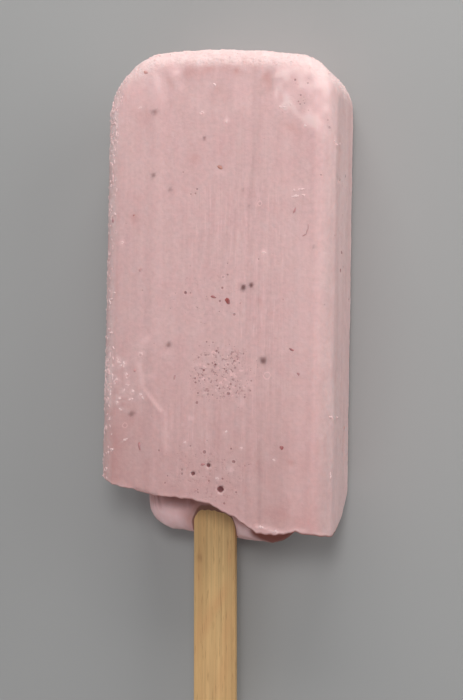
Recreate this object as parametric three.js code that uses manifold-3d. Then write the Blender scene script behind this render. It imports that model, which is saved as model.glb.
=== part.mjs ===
// Ice pop: a bar of fruit and cream frozen on a flat wooden stick, lying on its back.
//
// Millimetres. The bar is worked out in its own frame: x is 0 on its middle line, y is 0 at the
// plane its base breaks away from and grows towards the round tip, and z is 0 on the flat back.
// The whole is then moved so that the origin is the middle of its footprint, with +Z up.
import * as THREE from 'three';
import { mergeVertices } from 'three/addons/utils/BufferGeometryUtils.js';
import Module from 'manifold-3d';

const wasm = await Module();
wasm.setup();

const { clamp, degToRad, lerp, smoothstep } = THREE.MathUtils;

// --- Driving dimensions ---------------------------------------------------------------------

const bar = {
  width: 54.5, // across the face
  length: 102.9, // from the base plane to where the tip's corners begin to turn
  depth: 24, // back to face
  leftTipRadius: 13, // the round corners of the tip
  rightTipRadius: 8.5,
  edgeRadius: 4.5, // where a face turns into a side
  crown: 2.8, // how much further the tip reaches at its highest
  crownMiddle: -6,
  crownPower: 6, // how late the crown sets in along the bar
};

const stick = {
  length: 114,
  width: 10,
  thickness: 2,
  edgeRadius: 0.35,
  showing: 55, // below the base plane
  fromMiddle: -2.3, // where its middle line crosses the base plane
  lean: 1.1, // degrees, lower end to the right
  clearance: 0.3, // between the stick and the ice around it
};

// The broken base. Heights are along y: a positive one is up into the bar.
const base = {
  reach: 40, // how far up the bar the base's slant is blended out
  rim: [[-27.3, 7], [-23.5, 5.1], [-18.5, 4.2], [-13.5, 2.9], [-5, 2.4], [0, 1.4], // face: x, height
    [6.5, -1.8], [10.9, -4.7], [15, -5.1], [20, -4.2], [27.3, -5.2]],
  backLeft: 10, // the rim of the back
  backRight: 8.5,
  slant: 2.2, // how late the slant from face to back sets in
  ripple: 0.07, // the rim's ragged edge: two waves of this height
  waves: [[1.3, 0.6], [3.1, 1.9]], // radians for each mm, and where each wave starts
  lip: 1.9, // thickness of the skin that stands round the hollow base
  hollow: 4, // how far the base is sunk behind that skin
};

// The swelling that the freezing mix pushed out round the stick.
const mound = {
  middleX: -1.4,
  middleDepth: 15.6, // behind the face
  halfWidth: 18,
  halfDepth: 7.4,
  cornerRadius: 6.5,
  roundness: 6.8, // radius of the edge all round it
  foot: 0.5, // width of its steep flank
  level: -6.8, // height of its flat end over the base plane
  tilt: -0.1, // it hangs lower to the right
  notch: 5.3, // the mix draws back from the front of the stick
  notchHalfWidth: 5.1,
  notchPower: 6, // how square the notch is
};

// Long soft ridges and grooves of the face: where, half width and height.
const flutes = [
  { x: -16.7, halfWidth: 1.5, height: -0.08 },
  { x: -13.6, halfWidth: 2.1, height: 0.12 },
  { x: -5.6, halfWidth: 1.8, height: 0.05 },
  { x: 8.1, halfWidth: 1.6, height: -0.08 },
  { x: 10.4, halfWidth: 1.8, height: 0.08 },
  { x: 14.6, halfWidth: 1.8, height: 0.05 },
  { x: 24.2, halfWidth: 2.6, height: 0.12 },
];

// A patch near the tip where the face swells a little.
const patch = { x: 28, y: 100, radius: 15.7, height: 0.3, edge: 4 };

// Fruit that stands out of the face: middle, length, width, and turn from the x axis in degrees.
const fruit = [
  { x: 3.2, y: 47.2, length: 2, width: 1.4, turn: 130 },
  { x: 0, y: 48.1, length: 1.5, width: 0.8, turn: 170 },
  { x: 0.9, y: 77.7, length: 1.8, width: 1, turn: 145 },
  { x: -17.5, y: 100.1, length: 1.1, width: 0.9, turn: 0 },
  { x: 18.5, y: 67.3, length: 2.3, width: 0.7, turn: 75 },
  { x: -17.8, y: 54.5, length: 1.6, width: 1.1, turn: 60 },
  { x: -8.9, y: 29.9, length: 1.3, width: 0.7, turn: 85 },
  { x: -17, y: 14.2, length: 2, width: 0.7, turn: 100 },
  { x: -23.9, y: 9.3, length: 1.6, width: 0.8, turn: 120 },
  { x: 16.4, y: 14.4, length: 1.1, width: 1, turn: 0 },
  { x: 11.9, y: 33.7, length: 1.9, width: 1.8, turn: 0 },
  { x: 7, y: 50.3, length: 1.5, width: 1.3, turn: 20 },
  { x: 8.8, y: 50.7, length: 1.5, width: 1.3, turn: 150 },
  { x: -15, y: 90.9, length: 1.5, width: 1.3, turn: 40 },
  { x: -15, y: 76.3, length: 1.5, width: 1.3, turn: 100 },
  { x: -19.2, y: 21.3, length: 1.5, width: 1.3, turn: 15 },
  { x: -10.5, y: 37.2, length: 1.4, width: 1.2, turn: 0 },
];
const fruitStandsOut = 0.35;

// How far the middle of a pit lies over the surface, as a share of its size.
const pitAbove = 0.1;

// Steps of the bar's surface grid between its round edges.
const gridStep = { across: 2.1, along: 2.4, through: 2.5 };
const edgeTurns = [45, 30, 15, 0]; // degrees at which the grid's lines meet a round edge

// Vertices closer than this are one.
const mergeDistance = 1e-4;

// Seeds along the two sides, spread by the golden ratio.
const sideSeeds = { count: 10, size: 1.5, from: 12, to: 88, firstHeight: 0.3 };
const goldenRatio = (Math.sqrt(5) - 1) / 2;

// The largest holes that bubbles left in the face: middle and diameter.
const pits = [
  { x: 2.4, y: 4.8, size: 1.6 },
  { x: -0.6, y: 10.1, size: 1.2 },
  { x: -4.1, y: 8.1, size: 1.1 },
  { x: -1.5, y: 13, size: 1 },
  { x: 5.4, y: 11, size: 1 },
  { x: -6.7, y: 49.1, size: 1 },
  { x: 4.9, y: 44.1, size: 1 },
  { x: 26, y: 85.9, size: 1 },
];

const halfWidth = bar.width / 2;
const halfDepth = bar.depth / 2;

// --- Surface of the bar ---------------------------------------------------------------------

// The factor that brings a quarter of a square onto a quarter of a disc of the same size.
function squareToDisc(a, b) {
  const reach = Math.hypot(a, b);
  return reach > 0 ? Math.max(a, b) / reach : 1;
}

// How far (x, y) lies past the centre of the tip's nearer corner round, and that round's radius.
function tipCorner(x, y) {
  const radius = x < 0 ? bar.leftTipRadius : bar.rightTipRadius;
  const across = Math.max(Math.abs(x) - (halfWidth - radius), 0);
  const along = Math.max(y - (bar.length - radius), 0);
  return { radius, across, along };
}

// How far (x, y) is from the round-cornered outline of the face, counted inwards.
function insideFace(x, y) {
  const { radius, across, along } = tipCorner(x, y);
  return radius - Math.hypot(across, along);
}

// How far (a, b) is inside a round-cornered rectangle about the origin.
function insideRectangle(a, b, halfA, halfB, radius) {
  const across = Math.abs(a) - (halfA - radius);
  const along = Math.abs(b) - (halfB - radius);
  if (across > 0 && along > 0) {
    return radius - Math.hypot(across, along);
  }
  return radius - Math.max(across, along);
}

// Rounds the tip's two corners, seen on the face.
function roundTip(point) {
  const { across, along } = tipCorner(point.x, point.y);
  const shrink = squareToDisc(across, along) - 1;
  point.x += Math.sign(point.x) * across * shrink;
  point.y += along * shrink;
}

// Rounds the long edges between the faces and the sides, and on round the tip.
function roundEdges(point) {
  const { across, along } = tipCorner(point.x, point.y);
  const reach = Math.hypot(across, along) || 1;
  const fromMiddle = point.z - halfDepth;
  const sideways = Math.max(bar.edgeRadius - insideFace(point.x, point.y), 0);
  const upward = Math.max(bar.edgeRadius - (halfDepth - Math.abs(fromMiddle)), 0);
  const shrink = squareToDisc(sideways, upward) - 1;
  point.x += Math.sign(point.x) * (across / reach) * sideways * shrink;
  point.y += (along / reach) * sideways * shrink;
  point.z += Math.sign(fromMiddle) * upward * shrink;
}

// Lets the tip reach furthest near its middle: a parabola across the bar.
function crownTip(point) {
  const across = (point.x - bar.crownMiddle) / halfWidth;
  point.y += bar.crown * (1 - across * across) * clamp(point.y / bar.length, 0, 1) ** bar.crownPower;
}

// Height at x of a line through points, in straight pieces.
function alongLine(line, x) {
  const next = clamp(line.findIndex(([at]) => at >= x), 1, line.length - 1);
  const [from, low] = line[next - 1];
  const [to, high] = line[next];
  return lerp(low, high, clamp((x - from) / (to - from), 0, 1));
}

// The slanting level the rim of the base follows, from the face to the back.
function rimLevel(x, depthBehindFace) {
  const waves = base.waves.map(([turn, start]) => Math.sin(turn * x + start));
  const ragged = base.ripple * (waves[0] + waves[1]);
  const front = alongLine(base.rim, x) + ragged;
  const back = lerp(base.backLeft, base.backRight, (x + halfWidth) / bar.width);
  return lerp(front, back, (depthBehindFace / bar.depth) ** base.slant);
}

// The end of the mound: flat, turned up all round by a quarter round, and notched at the stick.
function moundHeight(x, z, inside) {
  const turned = clamp(1 - inside / mound.roundness, 0, 1);
  const edge = mound.roundness * (1 - Math.sqrt(1 - turned * turned));
  const fromStick = (x - stick.fromMiddle) / mound.notchHalfWidth;
  const inFront = smoothstep(z, halfDepth, halfDepth + stick.thickness / 2);
  const notch = mound.notch * Math.exp(-(fromStick ** mound.notchPower)) * inFront;
  return mound.level + mound.tilt * x + edge + notch;
}

// Height of the broken base over its plane: a thin skin, a hollow behind it, and the mound.
function baseHeight(x, z) {
  const depthBehindFace = bar.depth - z;
  const insideBar = insideRectangle(x, z - halfDepth, halfWidth, halfDepth, bar.edgeRadius);
  const sunk = base.hollow * smoothstep(insideBar, base.lip, 2 * base.lip);
  const ground = rimLevel(x, depthBehindFace) + sunk;
  const insideMound = insideRectangle(
    x - mound.middleX,
    depthBehindFace - mound.middleDepth,
    mound.halfWidth,
    mound.halfDepth,
    mound.cornerRadius,
  );
  const swollen = Math.min(moundHeight(x, z, insideMound), ground);
  return lerp(ground, swollen, smoothstep(insideMound, -mound.foot, mound.foot));
}

// Slides the lower end of the bar along y until its end is the broken base.
function breakBase(point) {
  const share = clamp(1 - point.y / base.reach, 0, 1) ** 2;
  point.y += baseHeight(point.x, point.z) * share;
}

// Low relief of the face: the flutes, and the swollen patch near the tip.
function faceRelief(x, y) {
  const fromPatch = Math.hypot(x - patch.x, y - patch.y);
  let height = patch.height * smoothstep(patch.radius - fromPatch, 0, patch.edge);
  for (const flute of flutes) {
    height += flute.height * Math.exp(-(((x - flute.x) / flute.halfWidth) ** 2));
  }
  return height;
}

// Lifts points of the face by its relief, less and less round its edges. The back stays flat.
function raiseFace(point) {
  const share = smoothstep(point.z, bar.depth - bar.edgeRadius, bar.depth);
  point.z += faceRelief(point.x, point.y) * share;
}

// The face's surface over (x, y), round edges included.
function faceHeight(x, y) {
  const sideways = clamp(bar.edgeRadius - insideFace(x, y), 0, bar.edgeRadius);
  const drop = bar.edgeRadius - Math.sqrt(bar.edgeRadius ** 2 - sideways ** 2);
  return bar.depth - drop + (drop > 0 ? 0 : faceRelief(x, y));
}

// --- Solids ---------------------------------------------------------------------------------

// The geometry with only positions, its shared vertices made one.
function closedGeometry(geometry) {
  geometry.deleteAttribute('normal');
  geometry.deleteAttribute('uv');
  return mergeVertices(geometry, mergeDistance);
}

function toSolid(geometry) {
  const closed = closedGeometry(geometry);
  return new wasm.Manifold(new wasm.Mesh({
    numProp: 3,
    vertProperties: new Float32Array(closed.attributes.position.array),
    triVerts: new Uint32Array(closed.index.array),
  }));
}

function toGeometry(solid) {
  const { vertProperties, triVerts } = solid.getMesh();
  const geometry = new THREE.BufferGeometry();
  geometry.setAttribute('position', new THREE.BufferAttribute(vertProperties, 3));
  geometry.setIndex(new THREE.BufferAttribute(triVerts, 1));
  geometry.computeVertexNormals();
  return geometry;
}

// Grid lines from 0 to length: three narrowing steps over a round edge at one or both ends, so
// that each takes an equal part of the turn, and even steps of about the given size between.
function gridLines(length, step, roundStart, roundEnd) {
  const edge = edgeTurns.map((angle) => bar.edgeRadius * (1 - Math.tan(degToRad(angle))));
  const from = roundStart ? bar.edgeRadius : 0;
  const to = roundEnd ? length - bar.edgeRadius : length;
  const count = Math.round((to - from) / step);
  const even = Array.from({ length: count + 1 }, (_, i) => lerp(from, to, i / count));
  const start = roundStart ? edge.slice(0, -1) : [];
  const end = roundEnd ? edge.slice(0, -1).reverse().map((distance) => length - distance) : [];
  return [...start, ...even, ...end];
}

// A box whose surface grid has its lines where gridLines puts them, sculpted into the bar.
function barGeometry() {
  const lines = [
    gridLines(bar.width, gridStep.across, true, true).map((distance) => distance - halfWidth),
    gridLines(bar.length, gridStep.along, false, true),
    gridLines(bar.depth, gridStep.through, true, true),
  ];
  const steps = lines.map((list) => list.length - 1);
  const geometry = closedGeometry(new THREE.BoxGeometry(1, 1, 1, ...steps));
  const position = geometry.attributes.position;
  const point = new THREE.Vector3();
  for (let i = 0; i < position.count; i++) {
    point.fromBufferAttribute(position, i).addScalar(0.5);
    point.fromArray(point.toArray().map((share, axis) => lines[axis][Math.round(share * steps[axis])]));
    roundTip(point);
    roundEdges(point);
    crownTip(point);
    breakBase(point);
    raiseFace(point);
    position.setXYZ(i, ...point.toArray());
  }
  return geometry;
}

// A small faceted lump with the three given sizes, turned about z and put in its place.
function lump(sizes, turn, place) {
  const geometry = new THREE.IcosahedronGeometry(0.5, 0);
  geometry.scale(...sizes);
  geometry.rotateZ(degToRad(turn));
  geometry.translate(...place);
  return toSolid(geometry);
}

// Fruit stands out of the face, each piece lying along it.
function fruitSolids() {
  return fruit.map(({ x, y, length, width, turn }) => {
    const height = faceHeight(x, y) + fruitStandsOut - width / 2;
    return lump([length, width, width], turn, [x, y, height]);
  });
}

// Seeds stand out of the left and right side in turn.
function sideSeedSolids() {
  const { count, size, from, to, firstHeight } = sideSeeds;
  const low = bar.edgeRadius + size;
  return Array.from({ length: count }, (_, i) => {
    const side = i % 2 === 0 ? -1 : 1;
    const x = side * (halfWidth + fruitStandsOut - size / 2);
    const y = lerp(from, to, (i * goldenRatio) % 1);
    const z = lerp(low, bar.depth - low, (i * goldenRatio ** 2 + firstHeight) % 1);
    return lump([size, size, size], 0, [x, y, z]);
  });
}

// What the bubbles leave: round holes a little shallower than half their size.
function pitSolids() {
  return pits.map(({ x, y, size }) => {
    const place = [x, y, faceHeight(x, y) + pitAbove * size];
    return lump([size, size, size], 0, place);
  });
}

// The stick's outline about its middle line, with round ends, grown on every side.
function stickOutline(grow) {
  const radius = stick.width / 2 + grow;
  const top = stick.length - stick.showing - stick.width / 2;
  const bottom = -stick.showing + stick.width / 2;
  const outline = new THREE.Shape();
  outline.absarc(0, top, radius, 0, Math.PI);
  outline.absarc(0, bottom, radius, Math.PI, 2 * Math.PI);
  return outline;
}

// Leans the stick and brings it to the middle of the bar's depth.
function placeStick(geometry) {
  geometry.rotateZ(degToRad(stick.lean));
  geometry.translate(stick.fromMiddle, 0, halfDepth);
  return geometry;
}

// The stick itself, with its edges taken off.
function stickGeometry() {
  const bevel = stick.edgeRadius;
  const depth = stick.thickness - 2 * bevel;
  const geometry = new THREE.ExtrudeGeometry(stickOutline(0), {
    depth,
    curveSegments: 20,
    bevelThickness: bevel,
    bevelSize: bevel,
    bevelOffset: -bevel,
    bevelSegments: 2,
  });
  geometry.translate(0, 0, -depth / 2);
  return placeStick(closedGeometry(geometry));
}

// The space the stick takes up in the ice, open through the base.
function stickPocket() {
  const depth = stick.thickness + 2 * stick.clearance;
  const geometry = new THREE.ExtrudeGeometry(stickOutline(stick.clearance), {
    depth,
    curveSegments: 12,
    bevelEnabled: false,
  });
  geometry.translate(0, 0, -depth / 2);
  return toSolid(placeStick(closedGeometry(geometry)));
}

// The bar with its fruit joined on, and its pits and the stick's pocket cut out.
function iceCreamGeometry() {
  let solid = toSolid(barGeometry());
  for (const piece of [...fruitSolids(), ...sideSeedSolids()]) {
    solid = solid.add(piece);
  }
  for (const hole of [...pitSolids(), stickPocket()]) {
    solid = solid.subtract(hole);
  }
  return toGeometry(solid);
}

// --- The two pieces, with the origin at the middle of the footprint ---------------------------

const iceCream = new THREE.Mesh(
  iceCreamGeometry(),
  new THREE.MeshStandardMaterial({ color: 0xcda4a2, roughness: 0.6, metalness: 0 }),
);
iceCream.name = 'ice_cream';

const woodenStick = new THREE.Mesh(
  stickGeometry(),
  new THREE.MeshStandardMaterial({ color: 0xc6a06e, roughness: 0.75, metalness: 0 }),
);
woodenStick.name = 'stick';

const icePop = new THREE.Group();
icePop.add(iceCream, woodenStick);

const footprint = new THREE.Box3().setFromObject(icePop);
const middle = footprint.getCenter(new THREE.Vector3());
icePop.position.set(-middle.x, -middle.y, -footprint.min.z);

export default icePop;
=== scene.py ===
"""The looks of an ice pop: a bar of frozen fruit cream with a broken base, on a flat wooden stick.

Shapes are worked out in millimetres in the bar's own frame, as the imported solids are: x is 0 on
the bar's middle line, y is 0 at the plane its base breaks away from and grows towards the round
tip, and z is 0 on the flat back. to_row() then brings them, in metres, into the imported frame.
"""
import math

import bpy
import numpy as np
from mathutils import Matrix, Vector


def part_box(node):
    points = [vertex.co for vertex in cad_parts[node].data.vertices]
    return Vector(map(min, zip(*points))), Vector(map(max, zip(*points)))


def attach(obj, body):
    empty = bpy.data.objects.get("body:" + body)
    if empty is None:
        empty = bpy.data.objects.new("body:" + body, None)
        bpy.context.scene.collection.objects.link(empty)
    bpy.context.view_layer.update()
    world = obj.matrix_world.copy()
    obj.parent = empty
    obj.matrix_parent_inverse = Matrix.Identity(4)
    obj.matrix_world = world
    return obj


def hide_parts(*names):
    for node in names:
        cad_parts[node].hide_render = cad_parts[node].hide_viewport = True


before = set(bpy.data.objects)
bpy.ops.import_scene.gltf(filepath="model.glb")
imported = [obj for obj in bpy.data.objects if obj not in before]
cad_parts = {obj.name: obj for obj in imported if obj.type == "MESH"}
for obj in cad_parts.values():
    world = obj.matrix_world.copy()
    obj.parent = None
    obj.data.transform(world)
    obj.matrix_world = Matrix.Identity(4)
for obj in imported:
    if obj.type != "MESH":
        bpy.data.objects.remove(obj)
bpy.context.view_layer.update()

MM = 0.001
NEARLY_ZERO = 1e-12

# A pair whose name ends in GROWS, FADES, ACROSS, UP, DOWN or TURN is a range: where along the
# bar, across it, over or under its height, or by the surface's turn something grows or fades.

# --- Sizes of the bar and the stick ----------------------------------------------------------

BAR_WIDTH = 54.5
BAR_LENGTH = 102.9
BAR_DEPTH = 24.0
LEFT_TIP_RADIUS, RIGHT_TIP_RADIUS = 13.0, 8.5
EDGE_RADIUS = 4.5
CROWN, CROWN_MIDDLE = 2.8, -6.0
HALF_WIDTH = BAR_WIDTH / 2
HALF_DEPTH = BAR_DEPTH / 2

STICK_LENGTH = 114.0
STICK_WIDTH = 10.0
STICK_THICKNESS = 2.0
STICK_EDGE = 0.35
STICK_SHOWING = 55.0
STICK_FROM_MIDDLE = -2.3
STICK_LEAN = math.radians(1.1)

# Warm clouds in the wood: x, distance from its lower end, half length, half width, turn in
# degrees, strength.
WOOD_CLOUDS = (
    (1.2, 33.5, 5.0, 1.3, 62, 0.50),
    (-1.5, 29.0, 6.0, 1.5, 70, 0.45),
    (3.0, 27.0, 6.0, 1.3, 80, 0.40),
    (3.7, 43.6, 2.6, 0.6, 90, 0.45),
    (-3.8, 40.0, 6.0, 0.8, 88, 0.35),
    (-3.9, 26.0, 8.0, 0.9, 85, 0.40),
    (1.6, 16.0, 9.0, 1.8, 75, 0.40),
    (-2.0, 8.0, 7.0, 1.4, 100, 0.35),
    (0.0, 14.0, 18.0, 5.0, 90, 0.22),
)
# A small dark knot, longer than wide, and the darker end where the stick enters the bar: moist wood,
# and painted shade from the bar. That grows with the distance from the stick's lower end, and painted
# shade of the stick's shaded side adds to it at the right edge.
KNOT_X, KNOT_Y, KNOT_RADIUS, KNOT_STRETCH, KNOT_STRENGTH = -3.6, 43.4, 0.6, 1.6, 0.5
DAMPNESS_AND_SHADE, DAMP_AND_SHADE_GROWS = 0.05, (42.0, 56.0)
STICK_EDGE_SHADE, STICK_EDGE_SHADE_ACROSS = 0.3, (STICK_WIDTH / 2 - 0.8, STICK_WIDTH / 2 - 0.1)

# Grid of the stick: steps along and across, and points round each corner. The steps narrow
# towards both ends, whose width is that of a place so far inside them. The round edge takes up no
# more than a share of half the width. Then how deep the grain is, and the finest grooves' share.
STICK_STEPS, STICK_CORNER_POINTS, STICK_NARROWING = (400, 24), 5, 0.9
STICK_END_GAP, STICK_EDGE_SHARE = 0.01, 0.7
WOOD_GRAIN, FINE_GROOVES = 0.012, 0.6

# The broken base: heights along y, up into the bar. Each wave of its ripple has the radians that
# it turns for each millimetre, and where it starts.
BASE_REACH = 40.0
RIM_X = (-27.3, -23.5, -18.5, -13.5, -5.0, 0.0, 6.5, 10.9, 15.0, 20.0, 27.3)
RIM_HEIGHT = (7.0, 5.1, 4.2, 2.9, 2.4, 1.4, -1.8, -4.7, -5.1, -4.2, -5.2)
BACK_LEFT, BACK_RIGHT = 10.0, 8.5
SLANT = 2.2
RIPPLE, RIPPLE_WAVES = 0.07, ((1.3, 0.6), (3.1, 1.9))
TEAR = 0.12
LIP = 1.9
HOLLOW = 4.0

# Painted shade of the broken base, where the lip and the mound keep the light off: under the rim of
# the face, by the height over that rim and over the back, behind the torn lip on the right, over the
# stick, on the end of the mound where it turns away from the front, and left of the stick.
RIM_SHADE, RIM_SHADE_GROWS, RIM_SHADE_FADES, RIM_SHADE_UP = 0.78, (-3.8, -1.2), (1.5, 4.0), (9.0, 13.0)
LIP_SHADE_ACROSS, LIP_SHADE_GROWS = (5.8, 7.8), (-5.6, -2.8)
NOTCH_SHADE = 0.8
END_SHADE, END_SHADE_UNEVENNESS, END_SHADE_TURN = 0.42, 0.25, (0.2, 0.62)
END_SHADE_GROWS, END_SHADE_FADES = (4.0, 8.5), (13.0, 15.5)
LEFT_SHADE, LEFT_SHADE_FROM_STICK, LEFT_SHADE_WIDTH = 0.4, -5.5, 2.2
LEFT_SHADE_GROWS = (4.5, 7.5)

# A painted highlight along the rim of the face: how strong it is, and how strong on its torn lip on
# the right, where that begins, how high over the rim it is brightest, and how far around.
RIM_HIGHLIGHT, LIP_HIGHLIGHT, LIP_ACROSS = 0.1, 0.4, (8.0, 12.0)
RIM_HIGHLIGHT_AT, RIM_HIGHLIGHT_WIDTH = 0.3, 0.5

# The mound round the stick.
MOUND_X, MOUND_DEPTH = -1.4, 15.6
MOUND_HALF_WIDTH, MOUND_HALF_DEPTH, MOUND_CORNER = 18.0, 7.4, 6.5
MOUND_ROUNDNESS, MOUND_FOOT = 6.8, 0.5
MOUND_LEVEL, MOUND_TILT = -6.8, -0.1
NOTCH, NOTCH_HALF_WIDTH, NOTCH_EDGE = 5.3, 5.1, 1.0

# Grid of the bar's surface: steps across, along and through. Across and along, its lines crowd
# together round the lower middle of the face, where most bubbles are, and at the base they also
# crowd near the mound's outline, because the flank there is steep.
BAR_STEPS, GRID_SAMPLES = (130, 240, 44), 2001
GRID_MIDDLE, GRID_REACH, GRID_GAIN = (2.0, 20.0), (9.0, 22.0), (0.9, 0.8)
CROWDING, CROWDING_REACH, SLOPE_STEP = 0.75, 3.0, 0.05

# How far the surface turns to the front where it belongs to the face, and how far to the back
# where nothing stands out of it.
FACE_TURN, FLAT_BACK_TURN = (0.2, 0.8), (0.3, 0.8)

# Long soft ridges and grooves of the face: x, half width, height.
FLUTES = (
    (-16.7, 1.5, -0.08),
    (-13.6, 2.1, 0.12),
    (-5.6, 1.8, 0.05),
    (8.1, 1.6, -0.05),
    (10.4, 1.8, 0.05),
    (14.6, 1.8, 0.05),
    (24.2, 2.6, 0.12),
)

# The swollen patch near the tip: middle, radius, height, width of its edge.
PATCH_X, PATCH_Y, PATCH_RADIUS, PATCH_HEIGHT, PATCH_EDGE = 28.0, 100.0, 15.7, 0.36, 3.4

# --- What lies in and on the bar ---------------------------------------------------------------

# Fruit at the skin of the face: x, y, length, width, turn in degrees, its tint, from 0 for
# orange-brown over 0.5 for red to 1 for plum, and how thickly cream veils it.
FRUIT = (
    (3.2, 47.2, 2.4, 1.6, 130, 0.48, 0.02),
    (0.0, 48.1, 2.2, 0.9, 170, 0.46, 0.25),
    (0.9, 77.7, 2.5, 1.4, 145, 0.10, 0.35),
    (-17.5, 100.1, 1.8, 1.5, 0, 0.05, 0.60),
    (18.5, 67.3, 2.6, 0.8, 72, 0.40, 0.58),
    (20.9, 61.8, 1.1, 0.28, 25, 0.60, 0.72),
    (21.5, 62.7, 1.2, 0.28, 72, 0.60, 0.68),
    (21.8, 63.8, 1.3, 0.26, 86, 0.60, 0.72),
    (-8.9, 29.9, 1.4, 0.7, 85, 0.60, 0.55),
    (-17.0, 14.2, 2.8, 1.0, 100, 0.44, 0.52),
    (-23.9, 9.3, 1.6, 0.8, 120, 0.25, 0.30),
    (16.4, 14.4, 2.1, 1.7, 60, 0.56, 0.14),
    (-1.7, 10.2, 1.7, 0.7, 0, 0.46, 0.38),
    (18.4, 36.2, 1.6, 0.9, 150, 0.55, 0.35),
    (20.1, 30.8, 1.5, 1.2, 60, 0.58, 0.42),
    (-17.8, 54.5, 1.6, 1.1, 60, 0.60, 0.65),
    (-24.9, 66.0, 1.1, 0.5, 95, 0.60, 0.50),
    (-18.6, 31.3, 0.6, 0.6, 0, 0.50, 0.60),
    (-19.6, 67.1, 0.5, 0.5, 0, 0.30, 0.30),
)
# How thick each bit is, as a share of its width, and how much of it stands out.
FRUIT_THICKNESS, FRUIT_STANDS_OUT = 0.6, 0.08

# Seeds under the skin of the face: x, y, diameter, darkness.
SEEDS = (
    (11.9, 33.7, 1.9, 0.82),
    (7.0, 50.3, 1.5, 0.95),
    (8.8, 50.7, 1.5, 0.95),
    (-15.0, 90.9, 1.5, 0.55),
    (-15.0, 76.3, 1.5, 0.6),
    (-19.2, 21.3, 1.5, 0.55),
    (-10.5, 37.2, 1.3, 0.6),
    (-10.9, 72.8, 1.1, 0.4),
    (23.1, 59.1, 0.9, 0.35),
    (8.0, 68.6, 0.7, 0.3),
    (6.6, 72.4, 0.7, 0.3),
    (-2.9, 84.4, 1.0, 0.6),
)
# How high a seed lifts the skin, and how its shade is made up of a core and a soft halo: the
# share and the size of each, in its own radii.
SEED_RISE, SEED_UNEVENNESS = 0.06, 0.35
SEED_CORE, SEED_CORE_SIZE, SEED_HALO, SEED_HALO_SIZE = 0.7, 0.8, 0.3, 1.15

# Stripes along the sides: height over the back, half width, how rosy.
SIDE_STRIPES = (
    (18.0, 0.9, 0.13),
    (15.0, 1.5, -0.16),
    (11.8, 1.2, 0.10),
    (7.6, 1.5, 0.13),
    (4.9, 0.9, -0.12),
    (2.8, 1.2, -0.55),
)
STRIPE_WANDER, SIDE_CLOUDING, STRIPE_TURN = 0.8, 0.22, (0.6, 0.95)

# Fruit along the two sides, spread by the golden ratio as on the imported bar: how many, their
# length, from and to where along the bar, and the first one's place between back and face. Then
# the least width and how much more it can be, as shares of the length, the turn from one to the
# next in degrees, the first one's tint, and how thickly cream veils them.
SIDE_COUNT, SIDE_SIZE, SIDE_FROM, SIDE_TO, SIDE_FIRST = 10, 1.5, 12.0, 88.0, 0.3
SIDE_WIDTH, SIDE_WIDTH_MORE, SIDE_TURN, SIDE_TINT, SIDE_VEIL = 0.5, 0.4, 67.0, 0.1, 0.45
GOLDEN_RATIO = (math.sqrt(5.0) - 1.0) / 2.0

# Seeds on the back: how many, diameters and darkness from and to, how far the skin turns there,
# and how far from the base they begin.
BACK_SEEDS, BACK_SEED_SIZES, BACK_SEED_DARKNESS = 14, (0.8, 1.8), (0.3, 0.8)
BACK_TURN, BACK_SEEDS_FROM = -0.9, 15.0
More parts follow.
